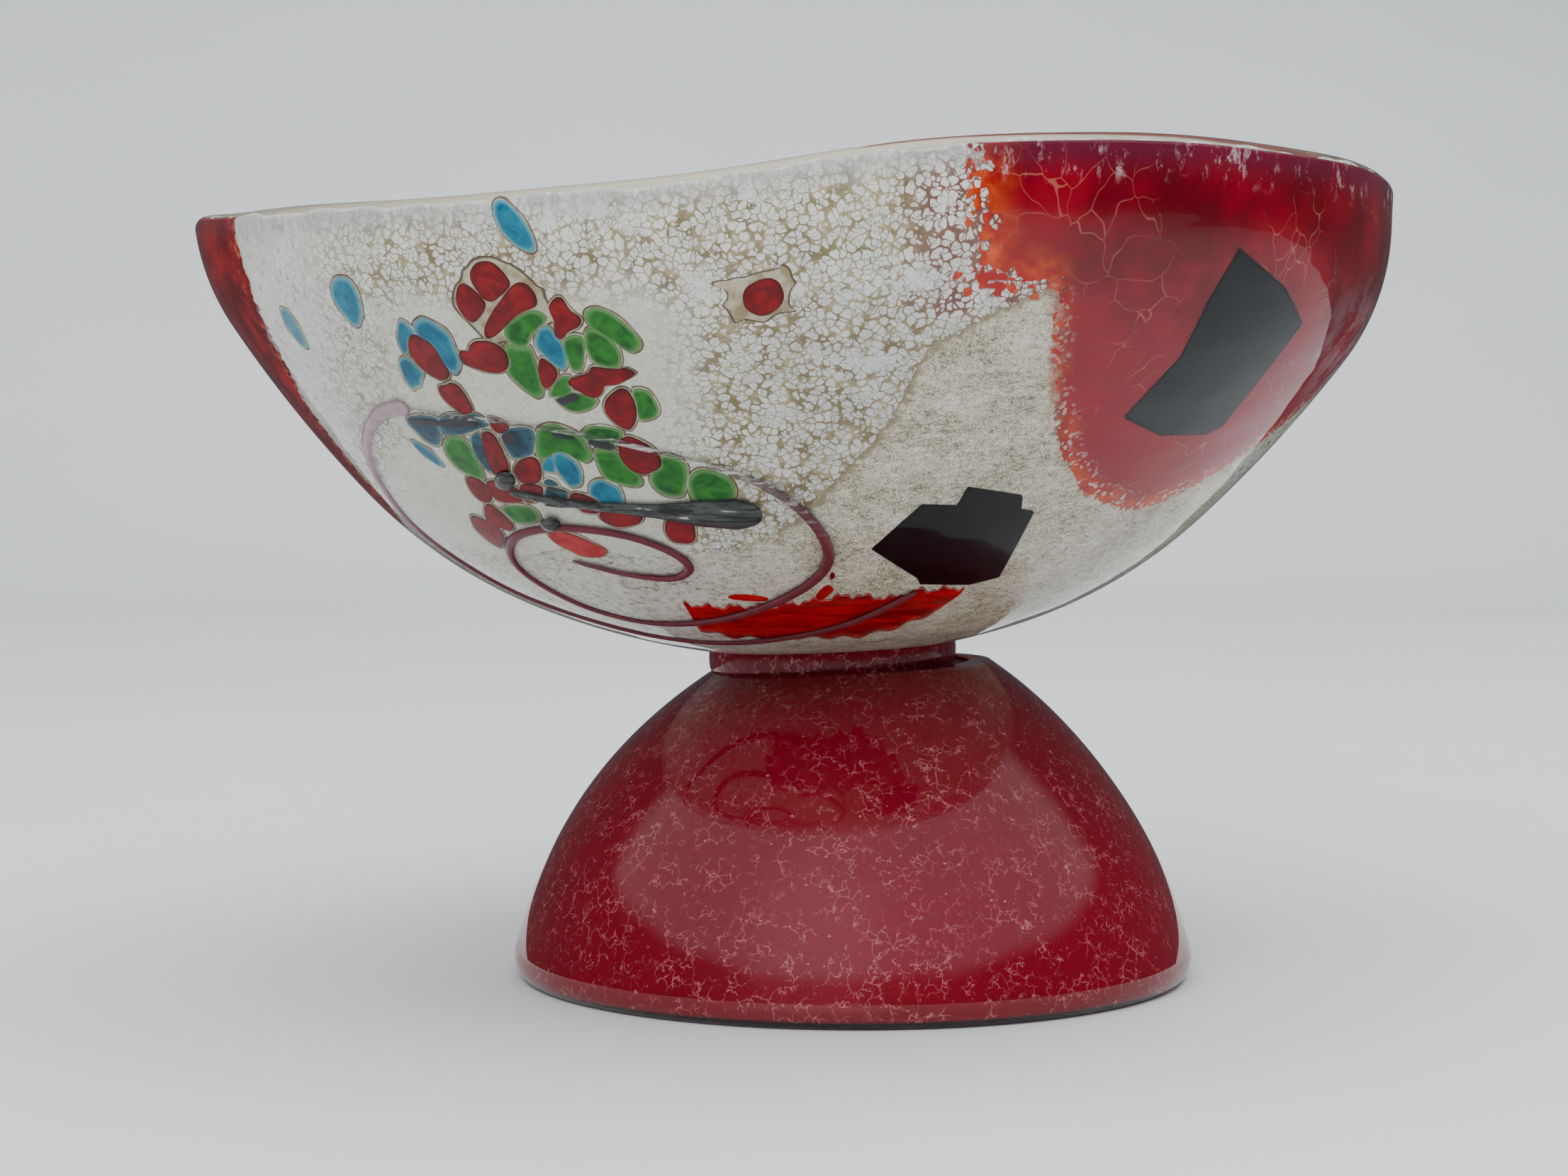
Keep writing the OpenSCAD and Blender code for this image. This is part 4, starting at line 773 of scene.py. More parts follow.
# Outlines in the bowl's front elevation, millimetres, the uppermost glass first.
CHIPS = [
    ("blue_chip_near_rim", "BLUE", [(-50.9, 164), (-52.7, 167.8), (-55.1, 170.9), (-57.5, 173),
        (-59.2, 173.2), (-60.4, 172), (-59.1, 168), (-56.7, 165.1), (-53.9, 163.1), (-51.6, 162.4)]),
    ("blue_chip_left", "BLUE", [(-89.4, 148.2), (-89, 150.4), (-89.6, 153.3), (-90.4, 155.3), (-91.8, 157),
        (-93.6, 157.6), (-95.2, 157.2), (-96.2, 155.5), (-96, 153.6), (-94.8, 151.3), (-92.4, 148.4),
        (-90.5, 146.8)]),
    ("blue_sliver_left", "BLUE", [(-108.5, 147.3), (-106.7, 145), (-105, 143), (-103.8, 142.5),
        (-103, 143), (-106.7, 150), (-108.4, 151.1), (-109.7, 151)]),
    ("red_chip_alone", "RED", [(-3.9, 158.9), (-5.7, 158.6), (-7.6, 157.7), (-8.9, 156.7), (-9.4, 155.3),
        (-9.3, 154), (-8.8, 152.7), (-7.4, 151.7), (-5.8, 151.3), (-4.2, 151.5), (-2.9, 152.4),
        (-1.6, 153.6), (-1.1, 155.1), (-1.4, 156.6), (-2.3, 158.2)]),
    ("red_chip_trio_top", "RED", [(-64.8, 158.9), (-64.9, 157.7), (-64.4, 156.2), (-60.9, 151.8),
        (-57, 155.1), (-56.1, 156.6), (-58.5, 159.4), (-60, 160.6), (-61.9, 160.9), (-63.8, 160.4)]),
    ("red_chip_trio_left", "RED", [(-62.3, 150.2), (-61.4, 152), (-62, 153), (-63.7, 154.8), (-65.4, 156),
        (-66.7, 156.4), (-67.7, 155.5), (-68, 152.8), (-67.3, 151), (-65.8, 149), (-64.1, 148.2)]),
    ("red_chip_trio_long", "RED", [(-60.7, 145.3), (-58.9, 146.4), (-55.6, 149.8), (-53.3, 151.1),
        (-51, 151.8), (-50.7, 152.9), (-51.2, 154.5), (-52.7, 156.3), (-54.4, 156.8), (-55.9, 156.2),
        (-57.4, 154.4), (-60.5, 150.4), (-61.8, 148), (-62.2, 146.4), (-61.7, 145.3)]),
    ("red_chip_propeller", "RED", [(-48.4, 152.3), (-48.4, 151.4), (-47.1, 148.8), (-47.4, 147.6),
        (-47.1, 146.1), (-46.4, 145.6), (-45.6, 145.6), (-44.5, 147.1), (-42.6, 147.8), (-41.9, 148.4),
        (-41.7, 149.3), (-42.1, 150.2), (-44.1, 151.2), (-45.4, 153.6), (-46.4, 154), (-47.3, 153.7)]),
    ("green_chip_crescent", "GREEN", [(-49.4, 150.6), (-51, 151.3), (-52.9, 150.9), (-57.2, 148.3),
        (-58, 147), (-57.5, 145.1), (-55.3, 143.5), (-53.8, 143.6), (-52.8, 144.3), (-52.6, 145.6),
        (-51.9, 146.6), (-48.4, 149.4)]),
    ("green_chip_upper_right", "GREEN", [(-29.4, 145), (-30, 146.4), (-34.5, 150.4), (-37.8, 152),
        (-39.7, 152), (-40.9, 151.3), (-41.3, 150.2), (-40, 148), (-36.4, 146.3), (-32.2, 143.3),
        (-30.9, 143.3), (-29.8, 143.9)]),
    ("green_chip_upper_right", "GREEN", [(-33.6, 140.8), (-33.6, 142.4), (-34.2, 144), (-35.3, 145.4),
        (-38.2, 147.5), (-39.7, 147.9), (-40.8, 147.7), (-41.3, 145.6), (-40.3, 142.5), (-39.2, 141.1),
        (-37.7, 140.3), (-34.2, 140)]),
    ("green_chip_right_mid", "GREEN", [(-41.1, 142.3), (-41.2, 145.6), (-41.7, 146.3), (-43, 146.5),
        (-44.5, 146.2), (-45.5, 145.3), (-45.3, 143.7), (-44.1, 139.7), (-43, 139.1), (-41.7, 139.2)]),
    ("blue_chip_mid", "BLUE", [(-45.2, 139.3), (-44.7, 141), (-44.9, 142.6), (-46, 145.3), (-47.3, 146.3),
        (-48, 147.7), (-49, 148.2), (-50.2, 147.7), (-51, 146.8), (-51.4, 145.4), (-51.3, 143.8),
        (-47.5, 140.3), (-46.1, 139.4)]),
    ("red_chip_tail", "RED", [(-57.1, 141.5), (-57.8, 142.9), (-59.1, 144), (-61, 144.7), (-62.9, 144.9),
        (-64.7, 144.6), (-65.6, 143.4), (-65.6, 142.5), (-67.8, 142.8), (-67.8, 141.6), (-67.3, 140.5),
        (-66.1, 139.8), (-61.3, 138.4), (-58.2, 138.5), (-57.1, 139.8)]),
    ("red_chip_star", "RED", [(-32.9, 140.3), (-34, 139.9), (-36.1, 139.9), (-39.4, 140.3), (-40.1, 140),
        (-40.2, 138.9), (-43.7, 138), (-44.8, 137.1), (-44.7, 136.6), (-42.3, 135), (-39.1, 133.8),
        (-38.2, 134.3), (-37.2, 135.5), (-37.2, 136.6), (-35, 136.7), (-33.5, 137.3), (-30.7, 138.8),
        (-30.7, 139.4)]),
    ("red_chip_wedge", "RED", [(-50.8, 138.1), (-50, 136), (-49.1, 135.4), (-47.9, 136.3), (-46.4, 138.9),
        (-49.1, 141.4), (-50.8, 141.8)]),
    ("green_chip_long", "GREEN", [(-49.6, 134.8), (-51.9, 143.1), (-52.6, 144), (-54.9, 143.6),
        (-57.2, 144.4), (-58.1, 143.8), (-57.2, 142), (-57, 140), (-57.6, 138.3), (-52.8, 134.1),
        (-50.9, 133.3)]),
    ("red_chip_round", "RED", [(-30.5, 129.5), (-30.5, 132.4), (-32, 135.5), (-33.1, 136), (-34.4, 136),
        (-37, 133.7), (-37.3, 132), (-36.7, 130.7), (-35.6, 129.5), (-34.1, 128.3), (-32.8, 127.7),
        (-31.7, 127.6)]),
    ("green_chip_edge", "GREEN", [(-30.5, 133.2), (-30.2, 129.9), (-29.3, 129.6), (-26.7, 130.2),
        (-25.6, 131.9), (-27.4, 134.9), (-28.3, 135.8), (-29.8, 136.1), (-31.6, 136)]),
    ("green_chip_pair", "GREEN", [(-47.8, 133.8), (-44.8, 134.4), (-43.8, 135.1), (-44.9, 137.1),
        (-44.1, 138.1), (-45.6, 138.3), (-46.8, 137.4), (-47.9, 135.9), (-48.8, 134)]),
    ("green_chip_pair", "GREEN", [(-46, 132), (-44.3, 131.1), (-42.4, 130.9), (-40.3, 131.6),
        (-39.1, 132.3), (-38.4, 133.7), (-43.8, 135.1), (-45.1, 134.3), (-47.6, 133.6)]),
    ("red_chip_on_blue", "RED", [(-79.2, 142.4), (-77.2, 139.8), (-75.7, 138.4), (-72.9, 136.8),
        (-71.5, 136.5), (-70.3, 137), (-70, 138), (-70.7, 139.4), (-72.5, 142.7), (-74, 144.3),
        (-76, 145.4), (-77.8, 145.9), (-78.6, 145.5)]),
    ("red_chip_link", "RED", [(-71.8, 132.5), (-68.4, 130), (-67.2, 129.6), (-66, 129.9), (-65.1, 130.6),
        (-67.6, 134.9), (-69, 136), (-70.2, 136.2), (-71.4, 135.5), (-73.2, 135.4)]),
    ("blue_chip_fan", "BLUE", [(-67.5, 139.7), (-67.5, 140.8), (-69.6, 145.7), (-70.7, 147),
        (-74.5, 149.1), (-75.9, 149.3), (-77.2, 148.5), (-77.7, 147.4), (-77.2, 145.9), (-74.2, 144.5),
        (-72.9, 143.1), (-70, 138.3), (-69.2, 137.8), (-68.2, 138)]),
    ("blue_chip_fan", "BLUE", [(-79.2, 142), (-79.2, 143.7), (-78.6, 145.5), (-77.3, 146.1),
        (-78.1, 147.2), (-80.2, 148.8), (-81, 148.2), (-81.4, 144), (-79.8, 141.2)]),
    ("blue_chip_fan", "BLUE", [(-78, 135.1), (-77, 135), (-76.6, 136.6), (-75.8, 137.8), (-79.4, 141.4),
        (-81.1, 140.8), (-81.4, 139.5), (-80.4, 136.5), (-78.5, 134.1)]),
    ("blue_sliver_low", "BLUE", [(-79.1, 121.7), (-74.6, 118.4), (-73.5, 118.1), (-73, 118.5),
        (-75.2, 121), (-79.2, 123.6), (-80.5, 123.4)]),
    # Blue chips under the clear thread: their darker blue is painted refraction shade.
    ("blue_chip_deep", "DEEP", [(-57, 127.4), (-60, 125.5), (-58.1, 121.8), (-57, 120.4), (-53.1, 121.4),
        (-52.5, 122.2), (-51.8, 127.3)]),
    ("red_butterfly", "RED", [(-61.9, 128.1), (-61.2, 126.6), (-59.8, 125.8), (-58.4, 126.2),
        (-57.6, 127.2), (-57.6, 127.7), (-62, 129.6)]),
    ("blue_chip_dark_left", "DEEP", [(-77.5, 124.2), (-75.4, 122.8), (-74, 122.6), (-73.3, 123.5),
        (-73.1, 125), (-73.7, 127.3), (-73.5, 128.8), (-78.5, 129.2), (-81.6, 128.2)]),
    ("blue_chip_dark_mid", "DEEP", [(-65, 130.2), (-66.4, 129.1), (-70.6, 130), (-73.6, 128.4),
        (-73.3, 126.1), (-72.5, 125), (-67.9, 125.2), (-64.2, 126.8), (-62.2, 127.2), (-62, 127.9)]),
    ("green_chip_low_left", "GREEN", [(-66.3, 122.7), (-67.4, 124.1), (-68.9, 124.9), (-70.7, 125.1),
        (-72, 124.4), (-72.6, 123.2), (-72.6, 121.5), (-70.4, 118.3), (-68.3, 117), (-64.4, 115.5),
        (-63.4, 116.3)]),
    ("blue_chip_deep", "DEEP", [(-64.2, 126.2), (-65.8, 125.6), (-66.5, 124.4), (-66, 122.4), (-65, 120.1),
        (-63, 117.5), (-61.8, 117.6)]),
    ("red_butterfly", "RED", [(-62.4, 117.9), (-60.9, 116.8), (-57.5, 118.1), (-60.1, 124.1),
        (-61.2, 125.8), (-62.7, 126.4), (-64.2, 125.6)]),
    ("red_butterfly", "RED", [(-53.1, 121.4), (-56.2, 120.2), (-57.2, 118.1), (-56.3, 117), (-56.1, 115.8),
        (-54.3, 115.3), (-51.9, 115.5), (-51, 116.7), (-51, 119), (-51.7, 120.7)]),
    ("red_butterfly", "RED", [(-56, 112.9), (-54.9, 111.5), (-53.4, 111.2), (-51.5, 112.2), (-50.7, 113.8),
        (-51.1, 115.2), (-56.1, 115.5)]),
    ("red_butterfly", "RED", [(-67.7, 114), (-66.6, 112.3), (-64.8, 110.8), (-62.9, 110.7), (-62.2, 111.9),
        (-62.7, 113.7), (-64.4, 115.4), (-66.5, 116.5), (-68.3, 116.1)]),
    ("red_butterfly", "RED", [(-61.9, 111.6), (-60.4, 111.1), (-58, 111), (-55.2, 111.4), (-56, 113.5),
        (-57.1, 114.6), (-59.8, 114.7), (-61.3, 115.9), (-64.1, 115.4)]),
    ("blue_chip_low_mid", "BLUE", [(-49.8, 121), (-50.8, 119.6), (-50.9, 118.6), (-48.6, 117.9),
        (-47.8, 118.2), (-48.6, 121.9)]),
    ("blue_chip_low_mid", "BLUE", [(-42.7, 120.2), (-47, 122.7), (-48, 122.4), (-48.4, 121.4),
        (-48.3, 120.1), (-47.6, 118.4), (-45.7, 116), (-44.6, 115), (-42, 115.6)]),
    ("green_chip_centre", "GREEN", [(-40.1, 122.7), (-41.9, 125.9), (-43.8, 126.9), (-47.2, 128.2),
        (-48.8, 128.3), (-50.7, 127.8), (-51.7, 127), (-52.3, 122.2), (-51, 120.3), (-46.8, 123.2),
        (-41.9, 120.2), (-40.7, 120.6), (-39.9, 121.6)]),
    ("green_chip_thread_side", "GREEN", [(-40.8, 124.6), (-36.6, 124.4), (-34.7, 125), (-33.6, 125.8),
        (-33.2, 127), (-34.5, 127.7), (-36.2, 128), (-40, 128.2), (-41.3, 127.6), (-42.3, 126.4)]),
    ("red_chip_dark_round", "RED", [(-26.5, 123.8), (-31.5, 126.3), (-32.7, 126.3), (-34, 125.6),
        (-34.6, 124.5), (-34, 121.7), (-33.1, 120.4), (-31.8, 119.3), (-30.1, 118.6), (-28.8, 118.4),
        (-27.6, 118.9), (-26.1, 119.7), (-25.1, 120.9)]),
    ("green_chip_beside", "GREEN", [(-38.3, 118.8), (-37.2, 117.3), (-35.8, 116.6), (-32.2, 115.7),
        (-30.3, 115.7), (-29.5, 116.3), (-29.5, 117.5), (-30.3, 118.4), (-32.9, 120), (-34.6, 123.2),
        (-38.9, 123.7), (-39.9, 122.8)]),
    ("green_chip_right", "GREEN", [(-19.9, 119.6), (-20.3, 120.9), (-21.2, 121.8), (-22.7, 122.5),
        (-24.4, 122.9), (-25.7, 122.6), (-25.2, 121.4), (-25.4, 120.3), (-27.8, 118.3), (-27.6, 116.8),
        (-26.7, 115.5), (-25.2, 114.4), (-23.5, 113.9), (-21.6, 113.9), (-20.4, 114.6)]),
    ("green_chip_end", "GREEN", [(-19.8, 117.3), (-19.6, 115.1), (-18.8, 113.1), (-16.9, 112.2),
        (-15, 111.8), (-12.4, 112.2), (-10.5, 113), (-9.9, 114.5), (-9.9, 116.4), (-10.9, 118),
        (-12.5, 119.2), (-15, 119.9), (-17.6, 120), (-19.2, 119)]),
    ("blue_chip_rod_end", "BLUE", [(-33.9, 114.7), (-35, 115.8), (-37.9, 117), (-39.2, 116.9),
        (-40.4, 116.1), (-40.8, 115.1), (-40.7, 113.6), (-39.7, 113.2), (-37.4, 111.2), (-34.3, 111),
        (-33.2, 111.4)]),
    ("red_chip_rod_under", "RED", [(-39.9, 112.8), (-41.2, 113.4), (-43.2, 113.9), (-44.7, 113.8),
        (-45.1, 113), (-44.9, 112.2), (-43.1, 110.7), (-42.5, 109.8), (-39.8, 109.5), (-38.4, 110),
        (-37.6, 110.8)]),
    ("red_chip_rod_under", "RED", [(-38.1, 108.2), (-36.8, 107.5), (-35.2, 106.9), (-33.3, 106.9),
        (-30, 107.8), (-29.4, 108.8), (-29.3, 109.9), (-32.4, 110.7), (-36.3, 111), (-37.8, 110.6),
        (-39, 109.3)]),
    ("red_chip_cube", "RED", [(-21.9, 110.5), (-18.3, 110.4), (-17.2, 110.9), (-16.9, 111.9),
        (-22.1, 112.1), (-22.9, 111.5)]),
    ("red_chip_cube", "BRIGHT", [(-18.3, 107.4), (-18.7, 108.5), (-20.6, 109.2), (-24.4, 109.1),
        (-24.8, 106.9), (-24.4, 105.7), (-23.5, 104.5), (-21.8, 103.8), (-18.1, 104)]),
    ("red_chip_bright", "BRIGHT", [(-38.1, 102.1), (-44.6, 104.7), (-46.6, 105), (-48.4, 105.7),
        (-49.8, 105.4), (-50.3, 104.5), (-49.6, 103.3), (-48.2, 102.2), (-44.9, 100.9), (-43.8, 100.1),
        (-41.4, 99.7), (-39.2, 99.8), (-37.8, 100.3), (-37.4, 101.2)]),
    ("red_chip_low", "RED", [(-58.3, 106.7), (-62.2, 110.1), (-63.4, 110.5), (-64.3, 110.2),
        (-64.6, 107.9), (-64.2, 106.9), (-63, 105.7), (-58.9, 104.6), (-57.8, 105.3)]),
    ("red_chip_low", "RED", [(-60.2, 104.3), (-64.2, 106.9), (-68.2, 108), (-67.4, 105), (-66.5, 103.8),
        (-63.6, 101.4), (-60.9, 100.2)]),
    ("green_chip_pale", "GREEN", [(-57.7, 106.7), (-55.4, 106.5), (-51.7, 107.3), (-52, 108.7),
        (-53, 109.8), (-54.7, 110.5), (-59.2, 110.4), (-60.9, 109.8)]),
    # Blue chips along the rod: their darker blue is painted refraction shade.
    ("blue_chip_dark_mid", "DEEP", [(-46.3, 111.2), (-45.4, 113.4), (-45.6, 114.2), (-48.1, 114.8),
        (-50.5, 114.7), (-50.4, 113), (-51.1, 111.1)]),
    ("blue_chip_dark_mid", "DEEP", [(-49.2, 116.8), (-50.8, 116.1), (-50.5, 115.3), (-46.7, 115.1)]),
]

# The star-shaped seat of the lone chip, the seat of the red trio, painted refraction shade: dark patches
# where the clear thread and the rod bend the view, and slivers that came off the strip.
MARKS = [
    ("beige_halo", "HALO", [(-14.8, 156.6), (-12.9, 156.5), (-11.9, 155.5), (-12, 154.2), (-13.3, 153.1),
        (-12, 152.6), (-10.4, 149.5), (-9.8, 150.4), (-8.2, 150.9), (-5.5, 150.3), (-4.4, 150.6),
        (-2.9, 152.1), (1.5, 152.5), (0.3, 152.9), (-0.7, 154), (-0.3, 156.8), (0.4, 157.2), (0.8, 157.9),
        (-0.2, 159), (-0.2, 160.1), (-1.3, 161.1), (-2.1, 161.2), (-2.6, 160.4), (-7.1, 159.2),
        (-8.7, 158.4), (-10.8, 158.4), (-12.4, 157.8), (-13.2, 158), (-15.5, 157.4)]),
    ("TRIO", "SEAT", [(-47.3, 150.3), (-49.8, 154), (-49.7, 155.5), (-51, 155.6), (-52.3, 157),
        (-56, 159.8), (-57.9, 160.3), (-59.9, 161.4), (-64, 161.3), (-65.5, 159.1), (-66.4, 158.9),
        (-66.5, 156.9), (-67.5, 156), (-68.3, 154.5), (-68.5, 152.6), (-67.9, 150.9), (-64.1, 147.6),
        (-61.7, 144.9), (-59.6, 144.2), (-47.2, 148.9)]),
    ("SHADE", "DARK", [(-48.1, 125.9), (-45.8, 125.5), (-43.5, 125.4), (-43, 125.8), (-49.4, 126.8)]),
    ("SHADE", "DARK", [(-40.3, 124.1), (-34.5, 123.2), (-34.4, 124.9), (-41.5, 125.7)]),
    ("SHADE", "DARK", [(-60.7, 100.2), (-59.5, 99.6), (-58.2, 100.2), (-57.9, 102.3), (-59, 103.5),
        (-60.4, 103.8)]),
    ("SHADE", "DARK", [(-58.4, 123.5), (-56.8, 123.6), (-55.7, 124.8), (-55.9, 126.3), (-57, 127.2),
        (-58.2, 126.2), (-59.8, 125.7)]),
    ("SHADE", "DARK", [(-65.5, 129), (-68.6, 129.2), (-71.7, 128.1), (-75.2, 128.2), (-78, 128.8),
        (-81.5, 128.3), (-80.4, 127.1), (-74, 127.2), (-71.2, 126.8), (-67.5, 126.8), (-62.6, 127.6)]),
    ("SHADE", "DARK", [(-45.6, 131.9), (-44.8, 132.9), (-42.3, 133.5), (-42.1, 134.6), (-43.8, 135.2),
        (-45.7, 134), (-48, 133.6)]),
    ("SHADE", "DARK", [(-45.2, 114.4), (-50.3, 115.3), (-50.3, 114.7), (-45.2, 113.8)]),
    ("SHADE", "DARK", [(-48.3, 111.6), (-51.1, 111.3), (-50.7, 110.8), (-44, 110.7), (-43.7, 111.1)]),
    ("FLECKS", "RED", [(9.2, 91.9), (11.7, 94.2), (11.3, 95.1), (10, 95.8), (7.8, 93.5), (7.3, 90.9)]),
    ("FLECKS", "RED", [(11.9, 97.4), (11.3, 98.6), (10.5, 98.3), (10.6, 96.5)]),
    ("FLECKS", "RED", [(-9.6, 91.2), (-2.7, 91.1), (-2.2, 92.3), (-9, 92.9), (-11.9, 92)]),
]

LAYERS = {"RED": (RED, 1.28), "BRIGHT": (BRIGHT, 1.28), "GREEN": (GREEN, 1.36), "BLUE": (BLUE, 1.43),
          "DEEP": (DEEP, 1.48)}
for node in dict.fromkeys(row[0] for row in CHIPS):
    rows = [row for row in CHIPS if row[0] == node]
    material, depth = LAYERS[rows[0][1]]
    slot = next(p["material_slot"] for p in frame["record"]["subparts"] if p["node"] == node)
    outlines = [smooth_outline(row[2], 2, 64) for row in rows]
    put(inlay(node + "_glass", outlines, depth, 0.30, 7.0), material, slot, node)

seats = [smooth_outline(row[2], 2, 56) for row in CHIPS]
seats += [smooth_outline(row[2], 1, 90) for row in MARKS if row[0] in ("beige_halo", "TRIO")]
put(inlay("beige_seams", seats, 1.57, 0.16, 3.0, grow=0.55), seam_tan(), "beige_enamel", "beige_halo")
# Painted refraction shade: dark patches laid into the wall beside the clear thread and rod.
shades = [smooth_outline(row[2], 2, 40) for row in MARKS if row[0] == "SHADE"]
put(inlay("painted_thread_shade", shades, 0.82, 0.1, 4.0, sink=0.95), painted_refraction_shade(), "amethyst",
    "spiral_thread_inner")
slivers = [smooth_outline(row[2], 1, 40) for row in MARKS if row[0] == "FLECKS"]
put(inlay("red_slivers_glass", slivers, 1.45, 0.15, 4.0), strip_red(), "strip_red", "red_strip")

# ---------------------------------------------------------------- trailed glass
OUTER_RUN = [(29.5, 95), (15.5, 87), (-1, 82), (-17, 80.3), (-35, 82.3), (-58, 89), (-74, 97.5), (-84, 105.5),
             (-90.5, 116), (-91, 124), (-86.5, 129.5), (-80, 131)]
INNER_RUN = [(-79.5, 130.4), (-70, 129.4), (-60, 128.8), (-44.5, 127.2), (-33, 125.2), (-15, 121.2), (-3, 117),
             (6, 110.5), (10, 103), (7, 97), (-2, 91), (-14, 86.5), (-28, 84.9), (-42, 87.6), (-54, 93.5),
             (-59, 99), (-57, 104), (-47, 106.4), (-34, 105.6), (-24, 102.6), (-19.5, 99), (-23, 96.3),
             (-33, 96.6), (-45, 99)]
ROD_RUN = [(-58, 113.6), (-44, 112), (-33, 111.4), (-21, 111), (-11, 111), (-4.2, 111.4)]
put(trail("outer_thread_glass", OUTER_RUN, [2.2, 2.6, 2.5, 2.5, 2.6, 2.8, 4.4], [1.5, 1.7, 1.7, 1.7, 1.7, 1.7, 1.9],
          [1.0, 1.2, 1.2, 1.2, 1.2, 1.2, 1.4]), thread_glass(), "amethyst", "spiral_thread_outer")
put(trail("inner_thread_glass", INNER_RUN, [1.9, 1.4, 1.5, 2.3, 2.7, 2.7, 2.5, 2.4, 2.2, 2.2, 1.5],
          [1.1, 0.9, 1.0, 1.6, 1.7, 1.7, 1.7, 1.7, 1.6, 1.6, 1.2], [0.9, 0.7, 0.8, 1.15, 1.2, 1.2, 1.2, 1.2, 1.1]),
    inner_thread_glass(), "amethyst", "spiral_thread_inner")
put(trail("smoky_rod_glass", ROD_RUN, [2.4, 2.4, 2.8, 4.2, 7.8, 9.4, 4.6], [1.2, 1.2, 1.3, 1.7, 2.5, 2.9, 2.0],
          [0.8, 0.8, 0.9, 1.2, 1.7, 2.0, 1.3]), rod_glass(), "clear_glass", "clear_rod")


def bead(name, spots, material):
    """Flattened glass beads on the wall: a squashed ball in rings, three quarters proud of the surface."""
    points, faces, offset = [], [], 0
    a = np.linspace(0, np.pi, 14)[1:-1, None]
    b = np.linspace(0, 2 * np.pi, 28, endpoint=False)[None, :]
    for x, z, wide, tall in spots:
        flat_x, flat_z = x + wide / 2 * np.sin(a) * np.cos(b), z + tall / 2 * np.sin(a) * np.sin(b)
        rings = front_point(flat_x, flat_z, -0.4 - 1.1 * np.cos(a) + 0 * b)
        poles = front_point(np.full(2, x), np.full(2, z), np.array([-1.5, 0.7]))
        points.append(np.vstack([rings.reshape(-1, 3), poles]))
        rows, cols = rings.shape[:2]
        faces += quads(rows, cols, offset=offset)
        faces += fan(np.arange(cols) + offset, rows * cols + offset, flip=True)
        faces += fan(np.arange(cols) + (rows - 1) * cols + offset, rows * cols + 1 + offset)
        offset += rows * cols + 2
    return build(name, np.vstack(points), faces)


put(bead("clear_beads_glass", [(-58.6, 116.6, 4.6, 3.8), (-49.1, 107.7, 4.4, 2.8)], rod_glass()), rod_glass(),
    "clear_glass", "clear_bead")


# ---------------------------------------------------------------- collar and foot
def foot_point(turn, height_low, depth):
    """A point of the foot's wall as a radius and a height: depths go in from the outside
    towards the side arc's centre."""
    z = height_low
    r = np.sqrt((FOOT_ARC - depth) ** 2 - (z + FOOT_DROP) ** 2) - FOOT_IN
    return r, z


def revolve(name, r, z, cols=240, centre=FOOT_X, poles=None):
    """A closed body from a section: its points go once round the section, and the section round Z."""
    turn = np.linspace(0, 2 * np.pi, cols, endpoint=False)[None, :]
    r, z = (np.asarray(v, float).reshape(-1, 1) + 0 * turn for v in (r, z))
    z = top_slope(r, z, turn)
    p = np.stack([centre + r * np.sin(turn), -r * np.cos(turn), z], -1) * 0.001
    if poles is None:
        return build(name, p, quads(len(r), cols, wrap_rows=True))
    ends = np.array([[centre, 0, poles[0]], [centre, 0, poles[1]]]) * 0.001
    return turned(name, p, ends[:1], ends[1:])


def top_slope(r, z, turn):
    """The foot's top tilts a little: heights near the top shift with X, lower ones stay."""
    share = np.clip((z - 40.0) / 33.0, 0, 1) ** 2
    return z + share * r * np.sin(turn) * math.tan(SLOPE)


def arch(z_low, turn, lift):
    """Height of the shallow arch under the rim for each turn."""
    gap = (turn - math.radians(235.0) + np.pi) % (2 * np.pi) - np.pi
    return lift * np.exp(-(gap / 0.38) ** 2)


def foot_casing():
    """Clear casing of the foot. The outside runs down the side arc, turns round a full rim and climbs
    the inside to the ruby's edge; the hidden face then lies inside the ruby. The rim lifts in a shallow
    arch on one side."""
    down = np.linspace(COLLAR_Z, 6.0, 70)
    outer_r = foot_point(0, down, 0.0)[0]
    a = np.linspace(0, np.pi, 26)[1:-1]
    r0, r1 = foot_point(0, 6.0, 0.0)[0], foot_point(0, 6.0, 7.0)[0]
    mid, half = (r0 + r1) / 2, (r0 - r1) / 2
    rim_r, rim_z = mid + half * np.cos(a) ** 1 * 1.0, 6.0 - 6.0 * np.sin(a) ** 0.8
    up = np.linspace(6.0, 9.5, 6)
    inner_r = foot_point(0, up, 7.0)[0]
    over = np.linspace(6.2, 2.6, 6)
    ledge_r, ledge_z = foot_point(0, np.full(6, 9.5), over)[0], np.full(6, 9.5)
    back = np.linspace(10.5, COLLAR_Z, 60)
    hidden_r = foot_point(0, back, 2.6)[0]
    r = np.concatenate([outer_r, rim_r, inner_r, ledge_r, hidden_r])[::-1]
    z = np.concatenate([down, rim_z, up, ledge_z, back])[::-1]
    obj = revolve("foot_clear_glass", r, z)
    co = np.empty(len(obj.data.vertices) * 3)
    obj.data.vertices.foreach_get("co", co)
    co = co.reshape(-1, 3)
    turn = np.arctan2(co[:, 0] - FOOT_X * 0.001, -co[:, 1])
    co[:, 2] += arch(0, turn, 0.0034) * np.clip(1 - co[:, 2] / 0.009, 0, 1) ** 1.2
    obj.data.vertices.foreach_set("co", co.ravel())
    obj.data.update()
    return obj


put(foot_casing(), rose_glass(), "rose_glass", "foot_clear_casing")

